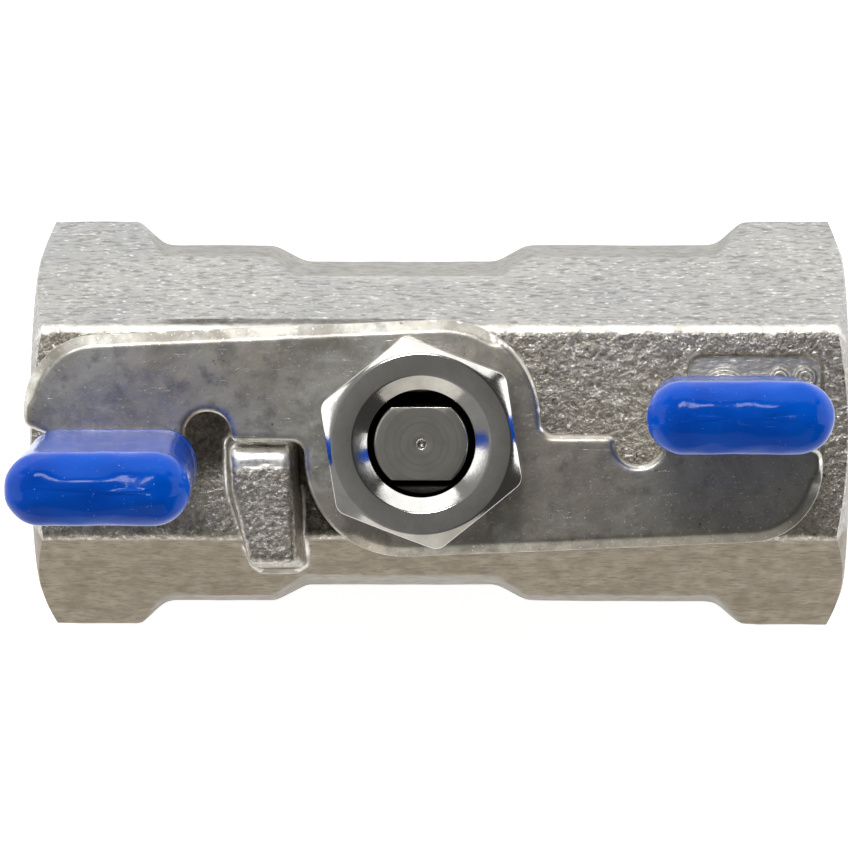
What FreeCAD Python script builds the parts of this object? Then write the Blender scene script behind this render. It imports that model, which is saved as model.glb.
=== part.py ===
"""One-piece reduced-bore ball valve, 1/2 inch, hexagonal cast body, two-wing handle.

Frame: origin on the bottom flat of the hexagon, straight below the stem axis; +X along the bore towards
the screwed-in insert, +Z up the stem. Every sub-part is drawn about the bore axis (local z = 0) and is
lifted by half the width across flats. All lengths are in millimetres, all angles in degrees.
"""
import FreeCAD, Part
import Sketcher
import math
import os
import re

DIMENSIONS = {
    # cast hexagonal body, lengths measured from the stem axis
    "across_flats": 26.0, "hex_corner_round": 0.6,
    "inlet_length": 28.3, "outlet_length": 30.4,
    "end_face_r": 12.6, "end_chamfer_depth": 0.95,
    "draft": 10.0,
    # waist of the body: half widths at the parting plane and where they change
    "shoulder_half": 13.2, "waist_half": 12.0,
    "inlet_ramp_out": -21.3, "inlet_ramp_in": -19.3,
    "waist_from": -11.2, "waist_start": -8.9, "waist_end": 5.1, "waist_to": 7.3,
    "outlet_ramp_in": 21.2, "outlet_ramp_out": 23.4, "waist_round": 1.4,
    # stem boss and its bores
    "boss_r": 7.5, "boss_top": 16.6, "stuffing_r": 6.0, "neck_bottom": 10.0, "neck_top": 11.2,
    "neck_r": 4.05, "collar_pocket_r": 5.8, "neck_floor": 5.0,
    # stop lug beside the hub of the handle
    "lug_foot": 6.0, "lug_top": 20.5, "lug_outer_x": -13.65, "lug_inner_x": -9.35,
    "lug_stop_y": -0.35, "lug_tail_x": -12.2, "lug_heel_x": -8.85, "lug_tail_y": -8.75,
    "lug_knee_x": -13.45, "lug_knee_y": -3.6, "lug_spread": 1.0, "lug_inner_spread": 0.45,
    "lug_tail_spread": 1.6, "lug_round": 0.4, "lug_nose_round": 1.3,
    # cast identification panel on the top flat
    "panel_from": 18.7, "panel_to": 28.5, "panel_low": -3.0, "panel_high": 5.6,
    "panel_depth": 0.45, "panel_round": 1.4, "ring_width": 0.5,
    "big_ring_r": 1.75, "big_ring_x": 21.45, "big_ring_y": 2.8,
    "small_ring_r": 0.95, "small_ring_x": 25.4, "small_ring_pitch": 1.8, "small_ring_y": 3.95,
    # parallel pipe thread in both ports
    "port_minor_r": 9.316, "port_pitch": 1.814, "port_mouth_r": 10.9,
    "port_groove_r": 9.70, "port_groove_mouth": 0.45, "port_groove_floor": 0.05, "port_cone": 1.8,
    "inlet_thread_end": -14.8, "outlet_thread_end": 13.5,
    # ball chamber, seats and insert
    "chamber_r": 8.3, "chamber_from": -6.5, "chamber_to": 6.0,
    "flow_r": 4.6, "seat_pocket_r": 7.05, "seat_back": 9.0, "seat_front": 4.6,
    "seat_outer_r": 7.0, "seat_inner_r": 4.75, "seat_gap": 0.03,
    "insert_minor_r": 8.459, "insert_major_r": 9.04, "insert_pitch": 1.0,
    "insert_crest_r": 8.92, "insert_root_r": 8.40, "insert_nose_r": 7.95,
    "insert_front": 5.0, "insert_back": 13.0,
    "socket_flats": 12.0, "socket_depth": 2.5, "socket_round": 0.3,
    # ball
    "ball_r": 8.0, "slot_width": 3.4, "slot_floor": 5.7, "vent_r": 0.75, "bore_edge": 0.3,
    # stem
    "tang_width": 3.2, "tang_length": 7.5, "tang_bottom": 5.9, "tang_round": 0.4,
    "collar_bottom": 8.15, "collar_top": 9.2, "collar_r": 5.6,
    "stem_r": 4.0, "stem_thread_from": 19.0, "stem_top": 27.4, "stem_tip_r": 3.03,
    "stem_crest_r": 3.85, "stem_root_r": 3.24,
    "flats_from": 18.9, "flats_apart": 5.0, "punch_r": 0.4, "punch_depth": 0.4,
    # packing and gland
    "packing_bottom": 11.2, "packing_ring": 1.28, "packing_ridge": 0.45, "packing_gap": 0.02,
    "packing_inner_r": 4.06, "packing_outer_r": 5.96, "packing_mid_r": 5.01,
    "gland_bottom": 15.1, "gland_shoulder": 17.0, "gland_top": 19.15, "gland_head_r": 7.2,
    # handle plate with two bent-up wings
    "plate_bottom": 19.2, "plate_thick": 2.0, "hub_r": 8.3, "plate_edge": 0.45,
    "arm_edge_root": 8.27, "arm_taper": 0.0436, "arm_end_x": 28.0, "arm_end_round": 5.2,
    "arm_foot_y": 0.9, "ledge_y": 0.25, "relief_from": 13.5, "relief_end_y": 1.85,
    "relief_round": 1.55, "ledge_round": 0.48, "arm_foot_round": 0.8, "hub_corner_round": 1.0,
    "wing_from": 16.7, "wing_to": 26.3, "wing_centre": 1.85, "wing_top": 39.5, "bend_r": 1.1,
    "wing_lean": 1.8, "hub_hole_r": 4.06, "hub_flats_apart": 5.1,
    # dipped vinyl sleeves
    "sleeve_thick": 5.15, "sleeve_length": 12.7, "sleeve_bottom": 21.4, "sleeve_top": 41.0,
    "sleeve_round": 2.4,
    # handle nut, M8
    "nut_flats": 13.0, "nut_height": 6.5, "nut_chamfer_r": 6.2, "nut_sink_r": 4.8,
    "nut_seat_r": 4.2, "nut_minor_r": 3.324, "nut_major_r": 4.05, "nut_pitch": 1.25, "nut_turn": 39.0,
    # ring-groove thread form, as shares of the pitch
    "thread_mouth": 0.82, "thread_floor": 0.15,
}

doc = FreeCAD.newDocument("ball_valve")
sheet = doc.addObject("Spreadsheet::Sheet", "Dims")
for row, (alias, value) in enumerate(DIMENSIONS.items(), start=1):
    sheet.set(f"A{row}", alias)
    sheet.set(f"B{row}", str(value))
    sheet.setAlias(f"B{row}", alias)
doc.recompute()

NAMES = re.compile(r"\b(" + "|".join(DIMENSIONS) + r")\b")


def value_of(formula):
    """Number that a formula of sheet aliases has now."""
    return float(sheet.evalExpression(str(formula)))


def bind(thing, prop, formula):
    """Drive a property or constraint from the sheet."""
    thing.setExpression(prop, NAMES.sub(r"Dims.\1", str(formula)))


def new_body(label, turn=0):
    """Empty body at the height of the bore axis, turned about the stem axis."""
    body = doc.addObject("PartDesign::Body", label)
    body.Label = label
    bind(body, "Placement.Base.z", "across_flats / 2")
    bind(body, "Placement.Rotation.Angle", turn)
    return body


def origin_item(body, role):
    """Plane or axis of the body's own origin."""
    return next(item for item in body.Origin.OriginFeatures if item.Role == role)


def new_sketch(body, plane, offset=0):
    sketch = body.newObject("Sketcher::SketchObject", f"{body.Label}_sketch")
    sketch.AttachmentSupport = [(origin_item(body, f"{plane}_Plane"), "")]
    sketch.MapMode = "FlatFace"
    bind(sketch, "AttachmentOffset.Base.z", offset)
    return sketch


def locate(sketch, geometry, end, formulas):
    """Hold one point at its formulas, measured from the sketch origin."""
    for kind, axis, formula in zip(("DistanceX", "DistanceY"), (-2, -1), formulas):
        if abs(value_of(formula)) < 1e-9:
            sketch.addConstraint(Sketcher.Constraint("PointOnObject", geometry, end, axis))
            continue
        index = sketch.addConstraint(
            Sketcher.Constraint(kind, -1, 1, geometry, end, value_of(formula)))
        bind(sketch, f"Constraints[{index}]", formula)


def draw_outline(sketch, corners):
    """Closed outline. A corner is (x, y), or (x, y, radius) for a tangent round; each is a formula."""
    points = [FreeCAD.Vector(value_of(c[0]), value_of(c[1]), 0) for c in corners]
    rounds = [value_of(c[2]) if len(c) > 2 else 0.0 for c in corners]
    count = len(corners)
    starts, ends, arcs = list(points), list(points), {}
    for i, (point, radius) in enumerate(zip(points, rounds)):
        if not radius:
            continue
        back = (points[i - 1] - point).normalize()
        ahead = (points[(i + 1) % count] - point).normalize()
        half_angle = back.getAngle(ahead) / 2
        reach = radius / math.tan(half_angle)
        ends[i], starts[i] = point + back * reach, point + ahead * reach
        bisector = (back + ahead).normalize()
        centre = point + bisector * (radius / math.sin(half_angle))
        arcs[i] = Part.Arc(ends[i], centre - bisector * radius, starts[i])
    lines = [sketch.addGeometry(Part.LineSegment(starts[i], ends[(i + 1) % count]))
             for i in range(count)]
    for i, corner in enumerate(corners):
        before, after = lines[i - 1], lines[i]
        if i not in arcs:
            sketch.addConstraint(Sketcher.Constraint("Coincident", before, 2, after, 1))
            locate(sketch, after, 1, corner[:2])
            continue
        arc = sketch.addGeometry(arcs[i])
        first, last = (1, 2) if sketch.getPoint(arc, 1).distanceToPoint(ends[i]) < 1e-6 else (2, 1)
        sketch.addConstraint(Sketcher.Constraint("Tangent", before, 2, arc, first))
        sketch.addConstraint(Sketcher.Constraint("Tangent", after, 1, arc, last))
        index = sketch.addConstraint(Sketcher.Constraint("Radius", arc, rounds[i]))
        bind(sketch, f"Constraints[{index}]", corner[2])
        apex = sketch.addGeometry(Part.Point(points[i]), True)
        sketch.addConstraint(Sketcher.Constraint("PointOnObject", apex, 1, before))
        sketch.addConstraint(Sketcher.Constraint("PointOnObject", apex, 1, after))
        locate(sketch, apex, 1, corner[:2])


def draw_circle(sketch, x, y, radius):
    centre = FreeCAD.Vector(value_of(x), value_of(y), 0)
    circle = sketch.addGeometry(
        Part.Circle(centre, FreeCAD.Vector(0, 0, 1), value_of(radius)))
    locate(sketch, circle, 3, (x, y))
    index = sketch.addConstraint(Sketcher.Constraint("Radius", circle, value_of(radius)))
    bind(sketch, f"Constraints[{index}]", radius)


def solid_sign(feature):
    return -1 if feature.TypeId.split("::")[1] in ("Pocket", "Groove") else 1


def settle(body, feature):
    """Recompute and make sure that the feature really added or removed material."""
    before = feature.BaseFeature.Shape.Volume if feature.BaseFeature else 0.0
    doc.recompute()
    change = (feature.Shape.Volume - before) * solid_sign(feature)
    if change <= 1e-4:
        raise RuntimeError(f"{body.Label}: {feature.Name} changed nothing ({change:.5f})")
    return feature


def extrude(body, kind, sketch, length, direction=None, reverse=False, both=False):
    """Pad or Pocket of a sketch, along the plane's normal or along a slanted direction."""
    feature = body.newObject(f"PartDesign::{kind}", f"{body.Label}_{kind}")
    feature.Profile = sketch
    feature.Midplane = both
    feature.Reversed = reverse
    bind(feature, "Length", length)
    if direction:
        feature.UseCustomVector = True
        feature.AlongSketchNormal = True
        for axis, formula in zip("xyz", direction):
            bind(feature, f"Direction.{axis}", formula)
    return settle(body, feature)


def round_edges(body, base, radius, wanted):
    """Fillet the edges of a feature that the test picks."""
    fillet = body.newObject("PartDesign::Fillet", f"{body.Label}_fillet")
    names = [f"Edge{i}" for i, edge in enumerate(base.Shape.Edges, start=1) if wanted(edge)]
    fillet.Base = (base, names)
    bind(fillet, "Radius", radius)
    doc.recompute()
    return fillet


def turn_profile(body, kind, corners, axis="X"):
    """Revolution or Groove of an outline in the XZ plane about the bore (X) or stem (Z) axis."""
    sketch = new_sketch(body, "XZ")
    draw_outline(sketch, corners)
    feature = body.newObject(f"PartDesign::{kind}", f"{body.Label}_{kind}")
    feature.Profile = sketch
    feature.ReferenceAxis = (origin_item(body, f"{axis}_Axis"), [""])
    feature.Angle = 360
    return settle(body, feature)


def repeat_along(body, feature, axis, pitch, count):
    """Copy a feature along an axis and make the pattern the body's tip."""
    pattern = body.newObject("PartDesign::LinearPattern", f"{body.Label}_pattern")
    pattern.Originals = [feature]
    pattern.Direction = (origin_item(body, f"{axis}_Axis"), [""])
    pattern.Mode = "Spacing"
    bind(pattern, "Offset", pitch)
    pattern.Occurrences = count
    body.Tip = pattern
    doc.recompute()
    return pattern


def ring_thread(body, first, pitch, radii, count, axis="X", widths=None):
    """Thread form as rings: V grooves from the crest to the root radius, one per pitch."""
    crest, root = radii
    mouth, floor = widths or (f"{pitch} * thread_mouth", f"{pitch} * thread_floor")
    outward = 1 if value_of(root) > value_of(crest) else -1
    flank = f"(({mouth} - {floor}) / 2 / abs({root} - {crest}))"
    lip = f"({crest} - {outward} * 0.2)"
    lip_half = f"({mouth} / 2 + 0.2 * {flank})"
    profile = [(f"{first} - {lip_half}", lip), (f"{first} + {lip_half}", lip),
               (f"{first} + {floor} / 2", root), (f"{first} - {floor} / 2", root)]
    if axis == "Z":
        profile = [(radius, along) for along, radius in profile]
    groove = turn_profile(body, "Groove", profile, axis)
    return repeat_along(body, groove, axis, pitch, count)


def turns_between(start, end, pitch):
    """Whole thread rings that fit between two stations."""
    return int((value_of(end) - value_of(start)) / value_of(pitch))


def hexagon(flats, corner_round=None):
    """Corners of a hexagon with two flats level with the sketch's x axis."""
    outline = []
    for k in range(6):
        x = f"({flats}) / sqrt(3) * cos({60 * k} deg)"
        y = f"({flats}) / sqrt(3) * sin({60 * k} deg)"
        outline.append((x, y, corner_round) if corner_round else (x, y))
    return outline


# ---------------------------------------------------------------- cast body


def relief_outline(side):
    """Region outside the waisted silhouette, on the +Y (1) or -Y (-1) side of the parting plane."""
    outside = "across_flats / sqrt(3) + 1.5"
    return [(x, f"{side} * ({y})", *radius) for x, y, *radius in (
        ("inlet_ramp_out - 1.6", outside),
        ("inlet_ramp_in", "shoulder_half", "waist_round"),
        ("waist_from", "shoulder_half", "waist_round"),
        ("waist_start", "waist_half", "waist_round"),
        ("waist_end", "waist_half", "waist_round"),
        ("waist_to", "shoulder_half", "waist_round"),
        ("outlet_ramp_in", "shoulder_half", "waist_round"),
        ("outlet_ramp_out + 1.6", outside))]


def make_body_casting():
    body = new_body("body_casting")
    end_sketch = new_sketch(body, "YZ", "-inlet_length")
    draw_outline(end_sketch, hexagon("across_flats", "hex_corner_round"))
    extrude(body, "Pad", end_sketch, "inlet_length + outlet_length")

    corner_r = "across_flats / sqrt(3)"
    slope = f"(({corner_r} - end_face_r) / end_chamfer_depth)"
    for side, end in ((-1, "inlet_length"), (1, "outlet_length")):
        turn_profile(body, "Groove", [
            (f"{side} * ({end} + 0.5)", f"end_face_r - 0.5 * {slope}"),
            (f"{side} * ({end} - end_chamfer_depth - 0.5)", f"{corner_r} + 0.5 * {slope}"),
            (f"{side} * ({end} + 0.5)", f"{corner_r} + 0.5 * {slope}")])

    for side in (1, -1):
        for up in (1, -1):
            relief = new_sketch(body, "XY")
            draw_outline(relief, relief_outline(side))
            extrude(body, "Pocket", relief, "across_flats / 2",
                    direction=("0", f"{-side} * tan(draft * 1 deg)", str(up)))

    boss = new_sketch(body, "XY")
    draw_circle(boss, "0", "0", "boss_r")
    extrude(body, "Pad", boss, "boss_top")
    add_stop_lug(body)
    add_panel(body)
    cut_bores(body)
    return body


LUG_TOP = (("lug_outer_x", "lug_stop_y"), ("lug_inner_x", "lug_stop_y"),
           ("lug_heel_x", "lug_tail_y"), ("lug_tail_x", "lug_tail_y"), ("lug_knee_x", "lug_knee_y"))
LUG_FOOT = (("lug_outer_x - lug_spread", "lug_stop_y"),
            ("lug_inner_x + lug_inner_spread", "lug_stop_y"),
            ("lug_heel_x + lug_inner_spread", "lug_tail_y - lug_tail_spread"),
            ("lug_tail_x - lug_spread / 2", "lug_tail_y - lug_tail_spread"),
            ("lug_knee_x - lug_spread", "lug_knee_y - lug_spread"))


def add_stop_lug(body):
    """Drafted lug that the handle's edges meet; its foot is buried in the hexagon."""
    sketches = []
    for height, corners in (("lug_foot", LUG_FOOT), ("lug_top", LUG_TOP)):
        sketch = new_sketch(body, "XY", height)
        draw_outline(sketch, [(x, y, "lug_round") for x, y in corners])
        sketches.append(sketch)
    loft = body.newObject("PartDesign::AdditiveLoft", "body_casting_lug")
    loft.Profile = sketches[0]
    loft.Sections = [sketches[1]]
    loft.Ruled = True
    settle(body, loft)
    top = value_of("lug_top")
    round_edges(body, loft, "lug_round", lambda edge: all(
        abs(v.Point.z - top) < 1e-6 for v in edge.Vertexes))
    nose = new_sketch(body, "YZ", "lug_outer_x - lug_spread")
    low, clear = "lug_top - lug_nose_round * 1.5", "lug_top + 0.5"
    draw_outline(nose, [
        ("lug_stop_y - lug_nose_round * 1.5", "lug_top"),
        ("lug_stop_y", "lug_top", "lug_nose_round"),
        ("lug_stop_y", low), ("lug_stop_y + 0.5", low),
        ("lug_stop_y + 0.5", clear), ("lug_stop_y - lug_nose_round * 1.5", clear)])
    extrude(body, "Pocket", nose, "lug_inner_x - lug_outer_x + 2 * lug_spread", reverse=True)


def add_panel(body):
    """Sunken panel on the top flat with three plain raised rings."""
    panel = new_sketch(body, "XY", "across_flats / 2 - panel_depth")
    draw_outline(panel, [(x, y, "panel_round") for x, y in (
        ("panel_from", "panel_low"), ("panel_to", "panel_low"),
        ("panel_to", "panel_high"), ("panel_from", "panel_high"))])
    extrude(body, "Pocket", panel, "panel_depth + 1", reverse=True)
    for x, y, radius in (("big_ring_x", "big_ring_y", "big_ring_r"),
                         ("small_ring_x", "small_ring_y", "small_ring_r"),
                         ("small_ring_x + small_ring_pitch", "small_ring_y", "small_ring_r")):
        ring = new_sketch(body, "XY", "across_flats / 2 - panel_depth - 0.1")
        draw_circle(ring, x, y, radius)
        draw_circle(ring, x, y, f"{radius} - ring_width")
        extrude(body, "Pad", ring, "panel_depth + 0.05")


def cut_bores(body):
    """Ball chamber, ports, insert thread and stem bores."""
    turn_profile(body, "Groove", [
        ("-inlet_length - 1", "0"),
        ("-inlet_length - 1", "port_mouth_r + 1"),
        ("-inlet_length + (port_mouth_r - port_minor_r)", "port_minor_r"),
        ("inlet_thread_end", "port_minor_r"),
        ("inlet_thread_end + (port_minor_r - flow_r) / port_cone", "flow_r"),
        ("-seat_back", "flow_r"),
        ("-seat_back", "seat_pocket_r"),
        ("chamber_from", "seat_pocket_r"),
        ("chamber_from", "chamber_r"),
        ("chamber_to", "chamber_r"),
        ("chamber_to", "insert_minor_r"),
        ("outlet_thread_end", "insert_minor_r"),
        ("outlet_thread_end", "port_minor_r"),
        ("outlet_length - (port_mouth_r - port_minor_r)", "port_minor_r"),
        ("outlet_length + 1", "port_mouth_r + 1"),
        ("outlet_length + 1", "0")])
    chamfer = "(port_mouth_r - port_minor_r)"
    for start, end in ((f"-inlet_length + {chamfer}", "inlet_thread_end"),
                       ("outlet_thread_end", f"outlet_length - {chamfer}")):
        ring_thread(body, f"{start} + 0.7 * port_pitch", "port_pitch",
                    ("port_minor_r", "port_groove_r"), turns_between(start, end, "port_pitch"),
                    widths=("port_groove_mouth", "port_groove_floor"))
    insert_turns = turns_between("chamber_to", "insert_back", "insert_pitch")
    ring_thread(body, "chamber_to + insert_pitch / 2", "insert_pitch",
                ("insert_minor_r", "insert_major_r"), insert_turns)
    turn_profile(body, "Groove", [
        ("0", "neck_floor"), ("collar_pocket_r", "neck_floor"),
        ("collar_pocket_r", "neck_bottom"), ("neck_r", "neck_bottom"),
        ("neck_r", "neck_top"), ("stuffing_r", "neck_top"),
        ("stuffing_r", "boss_top + 1"), ("0", "boss_top + 1")], axis="Z")


# ---------------------------------------------------------------- ball, seats and insert


def make_ball():
    body = new_body("ball")
    sphere = body.newObject("PartDesign::AdditiveSphere", "ball_sphere")
    bind(sphere, "Radius", "ball_r")
    doc.recompute()
    edge_x = "sqrt(ball_r ^ 2 - (flow_r + bore_edge) ^ 2)"
    turn_profile(body, "Groove", [
        ("-ball_r - 1", "0"), ("-ball_r - 1", f"flow_r + bore_edge + ball_r + 1 - {edge_x}"),
        (f"-({edge_x}) + bore_edge", "flow_r"), (f"{edge_x} - bore_edge", "flow_r"),
        ("ball_r + 1", f"flow_r + bore_edge + ball_r + 1 - {edge_x}"), ("ball_r + 1", "0")])
    slot = new_sketch(body, "XY", "slot_floor")
    half = "slot_width / 2"
    draw_outline(slot, [(f"-({half})", "-ball_r - 1"), (half, "-ball_r - 1"),
                        (half, "ball_r + 1"), (f"-({half})", "ball_r + 1")])
    extrude(body, "Pocket", slot, "ball_r", reverse=True)
    vent = new_sketch(body, "XY")
    draw_circle(vent, "0", "0", "vent_r")
    extrude(body, "Pocket", vent, "ball_r", reverse=True)
    return body


def make_seat(label, turn):
    """Seat ring with a spherical face; the back face rests in its pocket."""
    body = new_body(label, turn)
    contact_r = "(ball_r + seat_gap)"
    sketch = new_sketch(body, "XZ")
    inner_x = value_of(f"sqrt({contact_r} ^ 2 - seat_inner_r ^ 2)")
    front_r = value_of(f"sqrt({contact_r} ^ 2 - seat_front ^ 2)")
    draw_seat_section(sketch, contact_r, inner_x, front_r)
    ring = body.newObject("PartDesign::Revolution", f"{label}_ring")
    ring.Profile = sketch
    ring.ReferenceAxis = (origin_item(body, "X_Axis"), [""])
    ring.Angle = 360
    settle(body, ring)
    return body


def draw_seat_section(sketch, contact_r, inner_x, front_r):
    """Five-sided section whose ball face is an arc about the ball's centre."""
    inner, outer = value_of("seat_inner_r"), value_of("seat_outer_r")
    back, front = value_of("seat_back"), value_of("seat_front")
    corners = [(inner_x, inner), (back, inner), (back, outer), (front, outer), (front, front_r)]
    points = [FreeCAD.Vector(x, z, 0) for x, z in corners]
    lines = [sketch.addGeometry(Part.LineSegment(a, b)) for a, b in zip(points, points[1:])]
    start, end = math.atan2(inner, inner_x), math.atan2(front_r, front)
    circle = Part.Circle(FreeCAD.Vector(0, 0, 0), FreeCAD.Vector(0, 0, 1), value_of(contact_r))
    arc = sketch.addGeometry(Part.ArcOfCircle(circle, start, end))
    for one, two in zip(lines, lines[1:]):
        sketch.addConstraint(Sketcher.Constraint("Coincident", one, 2, two, 1))
    sketch.addConstraint(Sketcher.Constraint("Coincident", arc, 1, lines[0], 1))
    sketch.addConstraint(Sketcher.Constraint("Coincident", arc, 2, lines[-1], 2))
    sketch.addConstraint(Sketcher.Constraint("Coincident", arc, 3, -1, 1))
    radius = sketch.addConstraint(Sketcher.Constraint("Radius", arc, value_of(contact_r)))
    bind(sketch, f"Constraints[{radius}]", contact_r)
    locate(sketch, lines[0], 2, ("seat_back", "seat_inner_r"))
    locate(sketch, lines[2], 2, ("seat_front", "seat_outer_r"))
    for line, kind in zip(lines, ("Horizontal", "Vertical", "Horizontal", "Vertical")):
        sketch.addConstraint(Sketcher.Constraint(kind, line))


def make_end_insert():
    body = new_body("end_insert")
    turn_profile(body, "Revolution", [
        ("insert_front", "seat_pocket_r"), ("seat_back", "seat_pocket_r"), ("seat_back", "flow_r"),
        ("insert_back", "flow_r"), ("insert_back", "insert_crest_r"),
        ("chamber_to + 0.1", "insert_crest_r"), ("chamber_to + 0.1", "insert_nose_r"),
        ("insert_front", "insert_nose_r")])
    turns = turns_between("chamber_to", "insert_back", "insert_pitch") + 1
    ring_thread(body, "chamber_to", "insert_pitch", ("insert_crest_r", "insert_root_r"), turns)
    socket = new_sketch(body, "YZ", "insert_back - socket_depth")
    draw_outline(socket, hexagon("socket_flats", "socket_round"))
    extrude(body, "Pocket", socket, "socket_depth + 1", reverse=True)
    return body


# ---------------------------------------------------------------- stem, packing and gland


def make_stem():
    body = new_body("stem")
    turn_profile(body, "Revolution", [
        ("0", "collar_bottom"), ("collar_r", "collar_bottom"), ("collar_r", "collar_top"),
        ("stem_r", "collar_top"), ("stem_r", "stem_thread_from"),
        ("stem_crest_r", "stem_thread_from + 0.1"),
        ("stem_crest_r", "stem_top - (stem_crest_r - stem_tip_r)"),
        ("stem_tip_r", "stem_top"), ("0", "stem_top")], axis="Z")
    tang = new_sketch(body, "XY", "tang_bottom")
    draw_outline(tang, [(f"{sx} * tang_width / 2", f"{sy} * tang_length / 2", "tang_round")
                        for sx, sy in ((-1, -1), (1, -1), (1, 1), (-1, 1))])
    extrude(body, "Pad", tang, "collar_bottom - tang_bottom + 0.2")
    thread_start = "(plate_bottom + plate_thick)"
    thread_end = "(stem_top - stem_crest_r + stem_tip_r)"
    turns = turns_between(thread_start, thread_end, "nut_pitch") + 1
    ring_thread(body, thread_start, "nut_pitch", ("stem_crest_r", "stem_root_r"), turns, axis="Z")
    for side in (-1, 1):
        flat = new_sketch(body, "XY", "flats_from")
        draw_outline(flat, [(f"{sx} * (stem_r + 1)", f"{side} * {y}") for sx, y in (
            (-1, "flats_apart / 2"), (1, "flats_apart / 2"),
            (1, "(stem_r + 1)"), (-1, "(stem_r + 1)"))])
        extrude(body, "Pocket", flat, "stem_top - flats_from + 1", reverse=True)
    turn_profile(body, "Groove", [
        ("0", "stem_top - punch_depth"), ("punch_r * 2", "stem_top + punch_depth"),
        ("0", "stem_top + punch_depth")], axis="Z")
    return body


def make_stem_ring(label, bottom, top, inner, outer):
    body = new_body(label)
    turn_profile(body, "Revolution", [
        (inner, bottom), (outer, bottom), (outer, top), (inner, top)], axis="Z")
    return body


def make_packing_ring(label, index, grooved, ridged):
    """One ring of the chevron packing; rings nest, the ridge of one in the groove of the next."""
    body = new_body(label)
    bottom = f"packing_bottom + packing_gap + {index} * packing_ring"
    top = f"packing_bottom + {index + 1} * packing_ring"
    section = [("packing_inner_r", bottom)]
    if grooved:
        section.append(("packing_mid_r", f"{bottom} + packing_ridge"))
    section += [("packing_outer_r", bottom), ("packing_outer_r", top)]
    if ridged:
        section.append(("packing_mid_r", f"{top} + packing_ridge"))
    section.append(("packing_inner_r", top))
    turn_profile(body, "Revolution", section, axis="Z")
    return body


def make_gland_ring():
    body = new_body("gland_ring")
    turn_profile(body, "Revolution", [
        ("packing_inner_r", "gland_bottom"), ("packing_outer_r", "gland_bottom"),
        ("packing_outer_r", "gland_shoulder"), ("gland_head_r", "gland_shoulder"),
        ("gland_head_r", "gland_top"), ("packing_inner_r", "gland_top")], axis="Z")
    return body


# ---------------------------------------------------------------- handle

BEND_START = "(wing_centre - plate_thick / 2 - bend_r)"


def plate_outline(side):
    """Half of the plate's edge: hub, long edge, rounded arm end, wing root, relief slot and ledge."""
    hub_corner = "-(arm_edge_root + hub_r * arm_taper)"
    end_corner = "-(arm_edge_root - arm_end_x * arm_taper)"
    return [(f"{side} * ({x})", f"{side} * ({y})", *radius) for x, y, *radius in (
        ("-hub_r", "-ledge_y", "hub_corner_round"),
        ("-hub_r", hub_corner, "hub_r - ledge_y - hub_corner_round - 0.1"),
        ("arm_end_x", end_corner, "arm_end_round"),
        ("arm_end_x", "-arm_foot_y", "arm_foot_round"),
        ("wing_to", BEND_START),
        ("wing_from", BEND_START),
        ("wing_from", "-relief_end_y", "relief_round"),
        ("relief_from", "-relief_end_y", "relief_round"),
        ("relief_from", "ledge_y", "ledge_round"))]


def leaning(y, height):
    """Station across the valve, moved outwards by the wing's lean at a height above the plate."""
    return f"{y} + ({height} - plate_bottom - plate_thick) * tan(wing_lean * 1 deg)"


def wing_section(sketch):
    """Bent-up strip seen along the bore: a foot in the plate, the bend and the leaning wing."""
    inner, outer = "wing_centre - plate_thick / 2", "wing_centre + plate_thick / 2"
    foot, plate_top = f"{BEND_START} - 0.5", "plate_bottom + plate_thick"
    draw_outline(sketch, [
        (foot, "plate_bottom"),
        (leaning(outer, "plate_bottom"), "plate_bottom", "bend_r + plate_thick"),
        (leaning(outer, "wing_top"), "wing_top"), (leaning(inner, "wing_top"), "wing_top"),
        (inner, plate_top, "bend_r"), (foot, plate_top)])


def draw_double_d(sketch, radius, flats):
    """Circle with two flats parallel to the sketch's x axis."""
    r, half = value_of(radius), value_of(flats) / 2
    reach = math.sqrt(r * r - half * half)
    angle = math.atan2(half, reach)
    circle = Part.Circle(FreeCAD.Vector(0, 0, 0), FreeCAD.Vector(0, 0, 1), r)
    right = sketch.addGeometry(Part.ArcOfCircle(circle, -angle, angle))
    left = sketch.addGeometry(Part.ArcOfCircle(circle, math.pi - angle, math.pi + angle))
    corner = [FreeCAD.Vector(x * reach, y * half, 0)
              for x, y in ((1, 1), (-1, 1), (-1, -1), (1, -1))]
    upper = sketch.addGeometry(Part.LineSegment(corner[0], corner[1]))
    lower = sketch.addGeometry(Part.LineSegment(corner[2], corner[3]))
    joints = ((right, 2, upper, 1), (upper, 2, left, 1), (left, 2, lower, 1), (lower, 2, right, 1),
              (right, 3, -1, 1), (left, 3, -1, 1))
    for one, one_end, two, two_end in joints:
        sketch.addConstraint(Sketcher.Constraint("Coincident", one, one_end, two, two_end))
    sketch.addConstraint(Sketcher.Constraint("Equal", right, left))
    sketch.addConstraint(Sketcher.Constraint("Horizontal", upper))
    sketch.addConstraint(Sketcher.Constraint("Horizontal", lower))
    for kind, parts, amount, formula in (
            ("Radius", (right,), r, radius),
            ("DistanceY", (-1, 1, upper, 1), half, f"{flats} / 2"),
            ("DistanceY", (lower, 1, -1, 1), half, f"{flats} / 2")):
        index = sketch.addConstraint(Sketcher.Constraint(kind, *parts, amount))
        bind(sketch, f"Constraints[{index}]", formula)


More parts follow.
